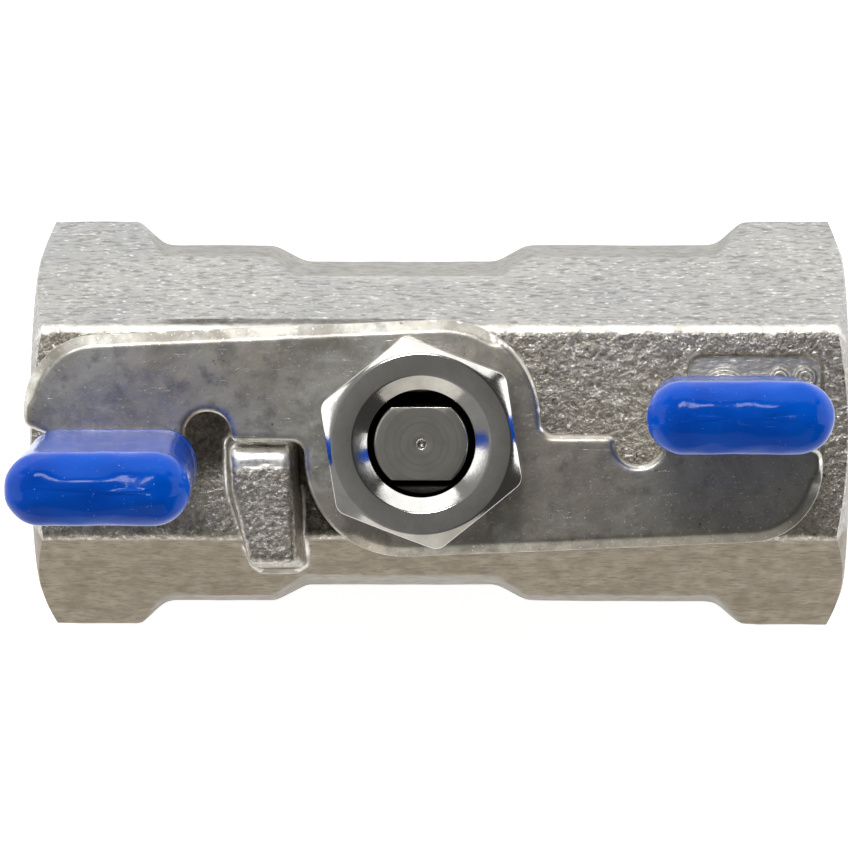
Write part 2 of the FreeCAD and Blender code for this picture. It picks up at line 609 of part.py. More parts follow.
def make_handle_plate():
    body = new_body("handle_plate")
    plate = new_sketch(body, "XY", "plate_bottom")
    draw_outline(plate, plate_outline(1) + plate_outline(-1))
    pad = extrude(body, "Pad", plate, "plate_thick")
    bend = value_of(BEND_START)
    levels = [value_of(z) for z in ("plate_bottom", "plate_bottom + plate_thick")]

    def on_rim(edge):
        points = [v.Point for v in edge.Vertexes]
        level = any(all(abs(p.z - z) < 1e-6 for p in points) for z in levels)
        on_bend = all(abs(abs(p.y) - abs(bend)) < 1e-6 for p in points)
        return level and not on_bend

    round_edges(body, pad, "plate_edge", on_rim)
    hole = new_sketch(body, "XY", "plate_bottom - 1")
    draw_double_d(hole, "hub_hole_r", "hub_flats_apart")
    extrude(body, "Pocket", hole, "plate_thick + 2", reverse=True)
    wing = new_sketch(body, "YZ", "wing_from")
    wing_section(wing)
    upright = extrude(body, "Pad", wing, "wing_to - wing_from")
    pair = body.newObject("PartDesign::PolarPattern", "handle_plate_pair")
    pair.Originals = [upright]
    pair.Axis = (origin_item(body, "Z_Axis"), [""])
    pair.Occurrences = 2
    pair.Angle = 360
    body.Tip = pair
    doc.recompute()
    return body


def make_wing_sleeve(label, turn):
    """Thick vinyl coat round one wing: a stadium in plan with a rounded top, hollow for the metal."""
    body = new_body(label, turn)
    middle = "(wing_from + wing_to) / 2"
    coat = new_sketch(body, "XY", "sleeve_bottom")
    draw_outline(coat, [
        (f"{middle} + {sx} * sleeve_length / 2", f"wing_centre + {sy} * sleeve_thick / 2",
         "sleeve_thick / 2 - 0.01") for sx, sy in ((-1, -1), (1, -1), (1, 1), (-1, 1))])
    pad = extrude(body, "Pad", coat, "sleeve_top - sleeve_bottom",
                  direction=("0", "tan(wing_lean * 1 deg)", "1"))
    top = value_of("sleeve_top")
    round_edges(body, pad, "sleeve_round", lambda edge: all(
        abs(v.Point.z - top) < 1e-6 for v in edge.Vertexes))
    cavity = new_sketch(body, "YZ", "wing_from")
    wing_section(cavity)
    extrude(body, "Pocket", cavity, "wing_to - wing_from", reverse=True)
    return body


def make_handle_nut():
    body = new_body("handle_nut", "nut_turn")
    seat = "(plate_bottom + plate_thick)"
    top = f"({seat} + nut_height)"
    blank = new_sketch(body, "XY", seat)
    draw_outline(blank, hexagon("nut_flats"))
    extrude(body, "Pad", blank, "nut_height")
    corner_r = "nut_flats / sqrt(3)"
    for end, sign in ((seat, -1), (top, 1)):
        turn_profile(body, "Groove", [
            ("nut_chamfer_r - 0.5", f"{end} + {sign} * 0.5 * tan(30 deg)"),
            (f"{corner_r} + 0.5", f"{end} - {sign} * ({corner_r} + 0.5 - nut_chamfer_r) * tan(30 deg)"),
            (f"{corner_r} + 0.5", f"{end} + {sign} * 0.5 * tan(30 deg)")], axis="Z")
    turn_profile(body, "Groove", [
        ("0", f"{seat} - 0.5"), ("nut_seat_r + 0.5", f"{seat} - 0.5"),
        ("nut_minor_r", f"{seat} + nut_seat_r - nut_minor_r"),
        ("nut_minor_r", f"{top} - (nut_sink_r - nut_minor_r)"),
        ("nut_sink_r + 0.5", f"{top} + 0.5"), ("0", f"{top} + 0.5")], axis="Z")
    turns = turns_between(seat, f"{top} - (nut_sink_r - nut_minor_r)", "nut_pitch")
    ring_thread(body, f"{seat} + nut_pitch / 2", "nut_pitch", ("nut_minor_r", "nut_major_r"),
                turns, axis="Z")
    return body


# ---------------------------------------------------------------- assembly

PARTS = [
    make_body_casting(), make_end_insert(), make_ball(),
    make_seat("seat_outlet", 0), make_seat("seat_inlet", 180), make_stem(),
    make_stem_ring("stem_thrust_washer", "collar_top", "neck_bottom",
                   "packing_inner_r", "collar_r"),
    make_packing_ring("packing_ring_lower", 0, grooved=False, ridged=True),
    make_packing_ring("packing_ring_middle", 1, grooved=True, ridged=True),
    make_packing_ring("packing_ring_upper", 2, grooved=True, ridged=False),
    make_gland_ring(), make_handle_plate(),
    make_wing_sleeve("wing_sleeve_right", 0), make_wing_sleeve("wing_sleeve_left", 180),
    make_handle_nut(),
]

doc.recompute()
faulty = [item.Name for item in doc.Objects if {"Invalid", "Error"} & set(item.State)]
if faulty:
    raise RuntimeError(f"features not rebuilt: {faulty}")
for part in PARTS:
    if part.Shape.isNull() or not part.Shape.isValid() or len(part.Shape.Solids) != 1:
        raise RuntimeError(f"{part.Label}: shape is not one valid solid")

os.makedirs("parts", exist_ok=True)
for part in PARTS:
    part.Shape.exportStep(os.path.join("parts", f"{part.Label}.step"))
    print(f"{part.Label:22s} {part.Shape.Volume:9.1f} mm3")
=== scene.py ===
import math

import bmesh
import bpy
import numpy as np
from mathutils import Matrix, Vector, noise
from mathutils.kdtree import KDTree


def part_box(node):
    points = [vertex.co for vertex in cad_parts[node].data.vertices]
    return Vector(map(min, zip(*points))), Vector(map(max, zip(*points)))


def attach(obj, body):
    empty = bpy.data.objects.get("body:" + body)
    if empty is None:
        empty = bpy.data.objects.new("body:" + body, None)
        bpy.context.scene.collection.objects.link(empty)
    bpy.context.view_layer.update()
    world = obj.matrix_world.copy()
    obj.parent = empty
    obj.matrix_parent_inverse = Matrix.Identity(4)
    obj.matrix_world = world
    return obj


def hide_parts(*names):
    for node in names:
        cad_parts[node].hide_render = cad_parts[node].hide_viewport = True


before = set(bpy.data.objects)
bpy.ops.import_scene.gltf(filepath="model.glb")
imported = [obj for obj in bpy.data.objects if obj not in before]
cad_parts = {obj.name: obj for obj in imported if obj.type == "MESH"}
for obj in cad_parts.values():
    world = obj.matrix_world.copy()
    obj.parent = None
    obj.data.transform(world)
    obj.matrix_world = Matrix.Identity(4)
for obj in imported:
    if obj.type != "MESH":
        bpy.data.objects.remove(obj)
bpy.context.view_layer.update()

# Modelling is in millimetres about the bore axis: x along the bore, z up the stem.
seat_low, seat_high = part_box("seat_inlet")
AXIS_HEIGHT = (seat_low.z + seat_high.z) * 500
TO_ROW = Matrix.Scale(0.001, 4) @ Matrix.Translation((0, 0, AXIS_HEIGHT))
TO_AXIS = TO_ROW.inverted()


def box_mm(node):
    """Lowest and highest corners of a CAD node, in millimetres about the bore axis."""
    return [TO_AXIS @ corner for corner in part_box(node)]


# ---------------------------------------------------------------- mesh helpers


def placed(name, mesh):
    """Object for a mesh, linked to the scene."""
    obj = bpy.data.objects.new(name, mesh)
    bpy.context.scene.collection.objects.link(obj)
    return obj


def mesh_object(name, points, faces):
    """Object from points and the faces between them."""
    mesh = bpy.data.meshes.new(name)
    mesh.from_pydata([tuple(p) for p in points], [], faces)
    mesh.update()
    return placed(name, mesh)


def cad_copy(node):
    """Copy of a CAD node's mesh, in millimetres about the bore axis."""
    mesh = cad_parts[node].data.copy()
    mesh.transform(TO_AXIS)
    return mesh


def ring_object(name, rings, closed=False, capped=()):
    """Mesh from rings of points, rings[i][j]; "start" and "end" in capped add a fan to a middle point."""
    rows, count = rings.shape[:2]
    i = np.arange(rows if closed else rows - 1)[:, None]
    j = np.arange(count)[None, :]
    after, beside = (i + 1) % rows, (j + 1) % count
    quads = np.stack([i * count + j, i * count + beside, after * count + beside, after * count + j], -1)
    faces = quads.reshape(-1, 4).tolist()
    points = list(rings.reshape(-1, 3))
    for end, row in (("start", 0), ("end", rows - 1)):
        if end in capped:
            points.append(rings[row].mean(axis=0))
            middle, first = len(points) - 1, row * count
            faces += [(first + k, first + (k + 1) % count, middle) for k in range(count)]
    obj = mesh_object(name, points, faces)
    tidy = bmesh.new()
    tidy.from_mesh(obj.data)
    bmesh.ops.recalc_face_normals(tidy, faces=tidy.faces)
    tidy.to_mesh(obj.data)
    tidy.free()
    return obj


def turned(radii, stations, axis="z"):
    """Rings about the z or x axis from radii and stations, both (rows, angles) or (rows, 1)."""
    radii, stations = np.broadcast_arrays(radii, stations)
    angles = np.linspace(0, 2 * math.pi, radii.shape[1], endpoint=False)[None, :]
    across, up = radii * np.cos(angles), radii * np.sin(angles)
    order = (across, up, stations) if axis == "z" else (stations, across, up)
    return np.stack(order, -1)


def angles_of(count):
    """Evenly spaced angles of one turn."""
    return np.linspace(0, 2 * math.pi, count, endpoint=False)


def lathe_tool(name, profile, axis, count=192):
    """Closed solid of revolution from a plain (station, radius) profile."""
    stations, radii = (np.array(column, float)[:, None] for column in zip(*profile))
    rings = turned(np.repeat(radii, count, 1), np.repeat(stations, count, 1), axis)
    return ring_object(name, rings, capped=("start", "end"))


def softened(corners, reach, steps=3):
    """Round the corners of an open profile; corners is (rows, angles, 2), reach the cut along each edge."""
    rows = [corners[0]]
    for before, corner, after in zip(corners, corners[1:], corners[2:]):
        arms = []
        for other in (before, after):
            length = np.linalg.norm(other - corner, axis=-1, keepdims=True)
            share = np.minimum(reach / np.maximum(length, 1e-9), 0.45)
            arms.append(corner + (other - corner) * share)
        for t in np.linspace(0, 1, steps):
            rows.append(arms[0] * (1 - t) ** 2 + corner * 2 * t * (1 - t) + arms[1] * t * t)
    rows.append(corners[-1])
    return np.array(rows)


def thread_wave(turns):
    """1 on a thread's crest and 0 in its root, once a turn, with flat crests and straight flanks."""
    saw = np.abs(turns % 1.0 - 0.5) * 2
    return np.clip((saw - 0.14) / 0.7, 0, 1)


def applied(obj, kind, **settings):
    """Replace the object's mesh with the result of one modifier."""
    modifier = obj.modifiers.new(kind, kind)
    for key, value in settings.items():
        setattr(modifier, key, value)
    bpy.context.view_layer.update()
    result = bpy.data.meshes.new_from_object(obj.evaluated_get(bpy.context.evaluated_depsgraph_get()))
    obj.modifiers.clear()
    obj.data = result
    return obj


def cut(obj, operation, tool):
    """Boolean of the object with a tool, which is removed."""
    applied(obj, "BOOLEAN", operation=operation, object=tool, solver="MANIFOLD")
    bpy.data.objects.remove(tool)


def joined(name, objects):
    """One object from the meshes of several, which are removed."""
    whole = bmesh.new()
    for obj in objects:
        whole.from_mesh(obj.data)
        bpy.data.objects.remove(obj)
    mesh = bpy.data.meshes.new(name)
    whole.to_mesh(mesh)
    whole.free()
    return placed(name, mesh)


def points_of(mesh, what="co"):
    data = np.zeros(len(mesh.vertices) * 3)
    mesh.vertices.foreach_get(what, data)
    return data.reshape(-1, 3)


def move_points(mesh, points):
    """Write new places for all the vertices."""
    mesh.vertices.foreach_set("co", points.ravel())
    mesh.update()


def displaced(obj, heights):
    """Move every vertex along its normal by heights(points), in millimetres."""
    points = points_of(obj.data)
    move_points(obj.data, points + points_of(obj.data, "normal") * heights(points)[:, None])


def noise_at(points, size, seed, octaves=1):
    """Smooth noise, about -1 to 1, with features of that size; size may differ by axis."""
    scaled = points / np.array(size) + np.array((seed * 17.3, seed * 5.1, seed * 9.7))
    if octaves == 1:
        return np.array([noise.noise(p) for p in scaled])
    return np.array([noise.fractal(p, 0.7, 2.1, octaves) for p in scaled])


def smoothstep(values, low, high):
    """0 below the first limit, 1 above the second, smooth between."""
    t = np.clip((values - low) / (high - low), 0, 1)
    return t * t * (3 - 2 * t)


def band(values, low, high, soft):
    """1 between two limits, with a soft fall to 0 just inside each."""
    return smoothstep(values, low, low + soft) * smoothstep(-values, -high, -high + soft)


def piece(obj, name, body, materials, nodes, sharp=40):
    """Give a finished mesh its place, finish and body, and hide the CAD nodes that it stands for."""
    obj.name = obj.data.name = name
    obj.data.materials.clear()
    for material in materials:
        obj.data.materials.append(material)
    obj.data.transform(TO_ROW)
    obj.data.shade_smooth()
    obj.data.set_sharp_from_angle(angle=math.radians(sharp))
    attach(obj, body)
    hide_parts(*nodes)
    return obj


# ---------------------------------------------------------------- materials


class Finish:
    """A material built by short calls; every texture is placed by the piece's own coordinates."""

    def __init__(self, name, **constants):
        self.material = bpy.data.materials.new(name)
        self.material.use_nodes = True
        self.nodes = self.material.node_tree.nodes
        self.links = self.material.node_tree.links
        self.shader = self.nodes["Principled BSDF"]
        self.output(**constants)
        self.place = self.new("ShaderNodeTexCoord").outputs["Object"]

    def output(self, **inputs):
        """Set or link inputs of the shader."""
        for key, value in inputs.items():
            self.connect(self.shader.inputs[key.replace("_", " ")], value)

    def connect(self, socket, value):
        if isinstance(value, bpy.types.NodeSocket):
            self.links.new(value, socket)
        else:
            socket.default_value = value

    def new(self, kind, inputs=(), **settings):
        node = self.nodes.new(kind)
        for key, value in settings.items():
            setattr(node, key, value)
        for key, value in dict(inputs).items():
            self.connect(node.inputs[key], value)
        return node

    def at(self, sizes, seed=0.0, vector=None):
        """Coordinates in which one unit is a feature of that size in millimetres, per axis."""
        sizes = (sizes,) * 3 if isinstance(sizes, (int, float)) else sizes
        return self.new("ShaderNodeMapping", {
            "Vector": vector or self.place, "Location": (seed * 3.7, seed * 1.9, seed * 7.3),
            "Scale": tuple(1000 / size for size in sizes)}).outputs[0]

    def noise(self, sizes, seed=0.0, detail=3.0, rough=0.55, warp=0.0, vector=None):
        return self.new("ShaderNodeTexNoise", {
            "Vector": self.at(sizes, seed, vector), "Scale": 1.0, "Detail": detail, "Roughness": rough,
            "Distortion": warp}).outputs["Fac"]

    def remap(self, value, low, high, to_low=0.0, to_high=1.0):
        return self.new("ShaderNodeMapRange", {
            "Value": value, "From Min": low, "From Max": high, "To Min": to_low,
            "To Max": to_high}).outputs[0]

    def maths(self, operation, one, two=0.0):
        return self.new("ShaderNodeMath", {0: one, 1: two}, operation=operation).outputs[0]

    def mixed(self, factor, one, two):
        colours = [c if isinstance(c, bpy.types.NodeSocket) else (*c, 1.0) for c in (one, two)]
        return self.new("ShaderNodeMix", {0: factor, 6: colours[0], 7: colours[1]},
                        data_type="RGBA").outputs[2]

    def attribute(self, name):
        return self.new("ShaderNodeAttribute", attribute_name=name).outputs["Fac"]

    def edges(self, low=0.52, high=0.58):
        """1 on convex edges, 0 elsewhere."""
        return self.remap(self.new("ShaderNodeNewGeometry").outputs["Pointiness"], low, high)

    def axis_value(self, axis):
        return self.new("ShaderNodeSeparateXYZ", {0: self.place}).outputs[axis]

    def lathe_lines(self, axis, size=0.12, seed=0.0):
        """Noise in rings round the bore (X) or stem (Z) axis, as a cutting tool leaves them."""
        parts = self.new("ShaderNodeSeparateXYZ", {0: self.place})
        along = parts.outputs[axis]
        lifted = self.maths("SUBTRACT", parts.outputs["Z"], AXIS_HEIGHT / 1000)
        flat = {"X": (parts.outputs["Y"], lifted), "Z": (parts.outputs["X"], parts.outputs["Y"])}[axis]
        squares = [self.maths("MULTIPLY", side, side) for side in flat]
        radius = self.maths("SQRT", self.maths("ADD", *squares))
        vector = self.new("ShaderNodeCombineXYZ", {"X": along, "Y": radius}).outputs[0]
        return self.noise(size, seed, 2.0, 0.6, vector=vector)

    def bump(self, height, depth, under=None):
        """Normal from a height of 0 to 1 that is depth millimetres tall."""
        inputs = {"Height": height, "Distance": depth / 1000, "Strength": 1.0}
        if under:
            inputs["Normal"] = under
        return self.new("ShaderNodeBump", inputs).outputs[0]


def cast_finish():
    """Investment-cast stainless steel: pebbled where as cast, ground or tumbled on the hexagon's sides."""
    f = Finish("cast_stainless", Metallic=1.0)
    rough, worn = f.attribute("rough"), f.attribute("worn")
    wall, grime = f.attribute("wall"), f.attribute("grime")
    # Painted shade: the lower slanted side on -Y takes a darker colour in place of the shade it lies in,
    # besides a warmer tint; its fine bump is weaker too.
    shaded_lower_side = f.remap(f.axis_value("Y"), -0.0064, -0.0076)

    grain = f.noise((0.90, 0.25, 0.25), 1, 3, 0.55)
    flecks = f.noise((0.60, 0.20, 0.20), 2, 2, 0.6)
    blotch = f.noise(5.0, 3, 4, 0.55)
    light = f.mixed(f.remap(blotch, 0.35, 0.65), (0.40, 0.40, 0.395), (0.475, 0.465, 0.44))
    light = f.mixed(f.remap(grain, 0.32, 0.52), (0.24, 0.235, 0.225), light)
    light = f.mixed(f.remap(flecks, 0.58, 0.76), light, (0.84, 0.84, 0.83))

    # Darker beige of the lower -Y side: painted shade, with a warmer tint of its own.
    stain = f.noise(1.6, 4, 5, 0.6)
    shaded_beige = f.mixed(f.remap(stain, 0.35, 0.65), (0.200, 0.163, 0.112), (0.285, 0.243, 0.180))
    shaded_beige = f.mixed(f.remap(grain, 0.34, 0.5), (0.17, 0.142, 0.10), shaded_beige)
    side = f.mixed(shaded_lower_side, light, shaded_beige)
    # Darker colour of the upright relief walls: painted shade, warmer on the lower side; these walls also
    # lose the fine grain bump.
    smooth = f.mixed(shaded_lower_side, (0.27, 0.265, 0.235), (0.225, 0.188, 0.135))
    smooth = f.mixed(f.remap(blotch, 0.4, 0.8), smooth, (0.34, 0.33, 0.30))
    smooth = f.mixed(f.remap(grain, 0.34, 0.46), (0.17, 0.155, 0.125), smooth)
    side = f.mixed(wall, side, smooth)

    pebble = f.noise(0.42, 5, 4, 0.62)
    pits = f.noise(0.3, 6, 3, 0.6)
    flat = f.mixed(f.remap(pebble, 0.36, 0.62), (0.265, 0.243, 0.205), (0.555, 0.515, 0.45))
    flat = f.mixed(f.remap(pits, 0.58, 0.68), flat, (0.95, 0.93, 0.88))
    flat = f.mixed(f.remap(pits, 0.38, 0.30), flat, (0.10, 0.09, 0.07))
    colour = f.mixed(rough, side, flat)
    # Painted shade: near-black in the handle's slot, beside the lug and under the handle, where the gaps lie
    # in shadow.
    dark = f.mixed(f.remap(pebble, 0.4, 0.6), (0.028, 0.024, 0.018), (0.10, 0.09, 0.07))
    colour = f.mixed(grime, colour, dark)
    # Rubbed-bright metal, partly painted highlight: the lug's nose and the +Y edge are painted highlight.
    colour = f.mixed(worn, colour, (0.88, 0.86, 0.82))

    side_rough = f.remap(f.noise(0.9, 7, 4), 0.3, 0.7, 0.34, 0.5)
    flat_rough = f.remap(pebble, 0.35, 0.65, 0.5, 0.3)
    roughness = f.new("ShaderNodeMix", {0: rough, 2: side_rough, 3: flat_rough}).outputs[0]
    roughness = f.maths("SUBTRACT", roughness, f.maths("MULTIPLY", worn, 0.04))

    ground = f.maths("MULTIPLY", f.maths("SUBTRACT", 1.0, rough), f.remap(shaded_lower_side, 0, 1, 1.0, 0.35))
    fine = f.maths("MULTIPLY", f.maths("MULTIPLY", grain, ground), f.maths("SUBTRACT", 1.0, wall))
    normal = f.bump(fine, 0.045)
    coarse = f.maths("MULTIPLY", f.maths("MULTIPLY", pebble, rough), f.maths("SUBTRACT", 1.0, worn))
    normal = f.bump(coarse, 0.11, normal)
    f.output(Base_Color=colour, Roughness=roughness, Normal=normal)
    return f.material


def turned_finish(name, axis, colour, dull, low, high, line=0.12, depth=0.004, shade=0.8):
    """Machined steel with tool marks round an axis."""
    f = Finish(name, Metallic=1.0)
    lines = f.lathe_lines(axis, line)
    stain = f.noise(1.3, 2, 4, 0.6)
    tint = f.mixed(f.remap(stain, 0.35, 0.68), colour, dull)
    tint = f.mixed(f.remap(lines, 0.3, 0.5), tuple(c * shade for c in dull), tint)
    f.output(Base_Color=tint, Roughness=f.remap(lines, 0.3, 0.7, low, high),
             Normal=f.bump(lines, depth))
    return f.material


def plate_finish():
    """Stamped and tumbled plate: cloudy tint, painted shade towards +x, fine pocks, fine scratches, bright
    rubbed edges.
    """
    f = Finish("tumbled_plate", Metallic=1.0)
    cloud = f.noise(4.2, 1, 5, 0.62, 0.6)
    haze = f.noise(1.1, 2, 4, 0.6)
    cool_warm = f.mixed(f.remap(f.noise(11.0, 3, 2), 0.42, 0.58), (0.66, 0.65, 0.60), (0.64, 0.585, 0.505))
    tint = f.mixed(f.remap(cloud, 0.37, 0.58), (0.34, 0.32, 0.28), cool_warm)
    tint = f.mixed(f.remap(haze, 0.3, 0.5), (0.38, 0.365, 0.34), tint)
    # Painted shade: the plate darker towards +x, where the right sleeve keeps the window light off it.
    shade = f.maths("MULTIPLY", f.remap(f.axis_value("X"), 0.002, 0.024), 0.65)
    tint = f.mixed(shade, tint, (0.335, 0.315, 0.28))
    speck = f.noise(0.2, 4, 2, 0.7)
    tint = f.mixed(f.remap(speck, 0.63, 0.73), tint, (0.85, 0.85, 0.84))
    scratch_a = f.noise((2.4, 0.09, 1.0), 5, 2, 0.5, 0.8)
    scratch_b = f.noise((0.09, 1.9, 1.0), 6, 2, 0.5, 0.8)
    scratches = f.maths("MAXIMUM", f.remap(scratch_a, 0.70, 0.76), f.remap(scratch_b, 0.73, 0.79))
    tint = f.mixed(f.maths("MULTIPLY", scratches, 0.22), tint, (0.82, 0.81, 0.79))
    dents = f.noise(0.5, 7, 3, 0.6)
    tint = f.mixed(f.remap(dents, 0.33, 0.25), tint, (0.22, 0.21, 0.195))
    tint = f.mixed(f.edges(0.52, 0.60), tint, (0.88, 0.87, 0.84))
    roughness = f.remap(cloud, 0.3, 0.7, 0.40, 0.30)
    roughness = f.maths("SUBTRACT", roughness, f.maths("MULTIPLY", scratches, 0.08))
    normal = f.bump(dents, 0.014)
    normal = f.bump(scratches, 0.004, normal)
    f.output(Base_Color=tint, Roughness=roughness, Normal=normal)
    return f.material


def bright_finish(name, colour, low, high, cloudy=0.85):
    """Cold-formed polished steel: nearly mirror, faint haze and tiny nicks."""
    f = Finish(name, Metallic=1.0)
    haze = f.noise(1.4, 1, 4, 0.6)
    nicks = f.noise(0.14, 2, 2, 0.7)
    tint = f.mixed(f.remap(haze, 0.35, 0.65), tuple(c * cloudy for c in colour), colour)
    tint = f.mixed(f.remap(nicks, 0.30, 0.24), tint, (0.2, 0.2, 0.19))
    f.output(Base_Color=tint, Roughness=f.remap(haze, 0.3, 0.7, high, low),
             Normal=f.bump(f.noise(0.25, 3, 3, 0.6), 0.0025))
    return f.material


def vinyl_finish():
    """Dipped blue vinyl: glossy, slightly uneven, with dust, fine pores and faint scuffs."""
    f = Finish("blue_vinyl", Specular_IOR_Level=0.13)
    drift = f.noise(4.0, 1, 3, 0.5)
    tone = f.mixed(f.remap(drift, 0.3, 0.7), (0.0, 0.062, 0.47), (0.0, 0.094, 0.60))
    dust = f.remap(f.noise(0.17, 2, 1, 0.6), 0.74, 0.80)
    scuff = f.remap(f.noise((1.6, 0.12, 0.5), 3, 2, 0.6, 0.4), 0.68, 0.76)
    tone = f.mixed(f.maths("MULTIPLY", scuff, 0.25), tone, (0.12, 0.24, 0.62))
    tone = f.mixed(f.maths("MULTIPLY", dust, 0.6), tone, (0.35, 0.5, 0.8))
    roughness = f.maths("ADD", f.remap(drift, 0.3, 0.7, 0.09, 0.15), f.maths("MULTIPLY", dust, 0.2))
    lumps = f.bump(f.noise(1.6, 4, 2, 0.4), 0.05)
    f.output(Base_Color=tone, Roughness=roughness, Normal=f.bump(f.noise(0.22, 5, 2), 0.004, lumps))
    return f.material


def ptfe_finish():
    """Waxy white seat and packing plastic with faint moulding flow and turning marks."""
    f = Finish("white_ptfe", Specular_IOR_Level=0.3, Subsurface_Weight=0.12, Subsurface_Scale=0.0008)
    flow = f.noise(1.8, 1, 4, 0.55, 0.5)
    grit = f.noise(0.12, 2, 2, 0.6)
    tone = f.mixed(f.remap(flow, 0.3, 0.7), (0.74, 0.73, 0.69), (0.86, 0.855, 0.83))
    tone = f.mixed(f.remap(grit, 0.30, 0.22), tone, (0.45, 0.43, 0.40))
    f.output(Base_Color=tone, Roughness=f.remap(grit, 0.3, 0.7, 0.42, 0.56),
             Normal=f.bump(f.lathe_lines("X", 0.1), 0.006))
    return f.material


def floor_finish():
    """Matt white table, lit a little from below."""
    f = Finish("studio_floor", Roughness=0.85, Emission_Strength=0.84)
    tone = f.mixed(f.noise(60.0, 1, 3), (0.66, 0.66, 0.66), (0.69, 0.69, 0.69))
    f.output(Base_Color=tone, Emission_Color=(1.0, 1.0, 1.0, 1.0))
    return f.material


CAST = cast_finish()
MACHINED = turned_finish("turned_port", "X", (0.66, 0.655, 0.64), (0.52, 0.51, 0.49), 0.22, 0.36)
INSERT = turned_finish("turned_insert", "X", (0.60, 0.59, 0.57), (0.44, 0.43, 0.41), 0.25, 0.38)
STEM = turned_finish("turned_stem", "Z", (0.50, 0.485, 0.445), (0.43, 0.415, 0.38), 0.27, 0.31,
                     line=0.2, depth=0.0002, shade=1.0)
# Near-black thread metal: painted shade down the nut's bore and on the stem's sides below its face.
SHADED_THREAD = turned_finish("shaded_thread", "Z", (0.07, 0.065, 0.055), (0.04, 0.037, 0.03), 0.3, 0.45)
GLAND = turned_finish("turned_gland", "Z", (0.58, 0.57, 0.55), (0.42, 0.41, 0.39), 0.24, 0.36)
BALL = bright_finish("polished_ball", (0.80, 0.80, 0.79), 0.06, 0.12)
NUT = bright_finish("bright_nut", (0.70, 0.69, 0.665), 0.09, 0.16)
PLATE = plate_finish()
VINYL = vinyl_finish()
PTFE = ptfe_finish()

# ---------------------------------------------------------------- cast body

cast_low, cast_high = box_mm("body_casting")
LEFT_END, RIGHT_END = cast_low.x, cast_high.x
HALF_FLATS = -cast_low.z
CORNER_R = HALF_FLATS / math.cos(math.pi / 6)
END_FACE_R, END_SLOPE = 12.6, 2.54
PORT_MINOR_R, PORT_MOUTH_R, PORT_PITCH, PORT_THREAD_DEPTH = 9.316, 10.9, 1.814, 1.12
INLET_INNER, OUTLET_INNER = -15.2, 14.0
BOSS_TOP, BOSS_BORE_R = 16.6, 6.0
VOXEL = 0.19
EDGE_Y = 7.5                 # where the top flat meets the slanted sides
LUG_FROM, LUG_TO = -16, -7   # along x, with some room on both sides
FLOW_R, CHAMBER_R, SEAT_POCKET_R, INSERT_R = 4.6, 8.3, 7.05, 8.95

# Bores as (station, radius): along the bore axis, then down the stem's neck.
CHAMBER = [(-15.6, 8.9), (-14.6, 8.9), (-12.2, FLOW_R), (-9.0, FLOW_R), (-9.0, SEAT_POCKET_R),
           (-6.5, SEAT_POCKET_R), (-6.5, CHAMBER_R), (6.0, CHAMBER_R), (6.0, INSERT_R), (14.4, INSERT_R)]
NECK = [(5.0, 5.8), (10.0, 5.8), (10.0, 4.05), (11.2, 4.05), (11.2, BOSS_BORE_R),
        (BOSS_TOP - 0.35, BOSS_BORE_R), (BOSS_TOP + 1, 7.35)]

# Parting line that runs down one side of the lug's foot and up the other.
LUG_LINE = np.array([
    (-14.15, -0.6, 13.0), (-14.1, -3.9, 13.0), (-13.3, -6.6, 13.0), (-12.75, -8.7, 11.2),
    (-12.35, -10.0, 8.95), (-11.9, -10.45, 8.2), (-9.4, -10.45, 8.2), (-8.75, -10.0, 8.95),
    (-8.6, -8.6, 11.3), (-8.75, -7.2, 13.0), (-8.95, -4.0, 13.0)])
LUG_LINE_R = 0.17

# Sunken panel on the top flat, with rings as (x, y, outer radius).
PANEL_LOW, PANEL_HIGH = np.array((18.7, -3.0)), np.array((28.5, 5.6))
PANEL_MIDDLE, PANEL_HALF = (PANEL_LOW + PANEL_HIGH) / 2, (PANEL_HIGH - PANEL_LOW) / 2
PANEL_DEPTH, PANEL_CORNER = 0.45, 1.4
PANEL_RINGS = ((21.45, 2.8, 1.75), (25.4, 3.95, 0.78), (27.2, 3.95, 0.78))
RING_HALF_WIDTH, RING_HEIGHT = 0.25, 0.38


def end_prism(start, end):
    """Hexagonal block that lets the casting run past an end before it is faced off."""
    corner, samples = 0.6, []
    for k in range(6):
        direction = math.radians(60 * k)
        centre_r = CORNER_R - corner / math.cos(math.pi / 6)
        for step in np.linspace(-30, 30, 7):
            turn = direction + math.radians(step)
            samples.append((centre_r * math.cos(direction) + corner * math.cos(turn),
                            centre_r * math.sin(direction) + corner * math.sin(turn)))
    rings = np.array([[(x, y, z) for y, z in samples] for x in (start, end)])
    return ring_object("prism", rings, capped=("start", "end"))


def outer_shell():
    """The CAD casting without the faces of its bores."""
    mesh = cad_copy("body_casting")
    shell = bmesh.new()
    shell.from_mesh(mesh)
    inside = []
    for face in shell.faces:
        x, y, z = face.calc_center_median()
        in_bore = math.hypot(y, z) < PORT_MOUTH_R and z < HALF_FLATS - 1.5
        in_neck = math.hypot(x, y) < 6.2 and 4 < z < BOSS_TOP + 0.01
        if in_bore or in_neck:
            inside.append(face)
    bmesh.ops.delete(shell, geom=inside, context="FACES")
    shell.to_mesh(mesh)
    shell.free()
    return placed("shell", mesh)


def flash_line(line, radius):
    """Thin raised bead along a line of points."""
    rings = []
    for k, point in enumerate(line):
        along = line[min(k + 1, len(line) - 1)] - line[max(k - 1, 0)]
        along /= np.linalg.norm(along)
        side = np.cross(along, (0, 0, 1))
        side /= np.linalg.norm(side)
        up = np.cross(side, along)
        rings.append([point + radius * (side * math.cos(a) + up * math.sin(a)) for a in angles_of(10)])
    return ring_object("flash", np.array(rings), capped=("start", "end"))


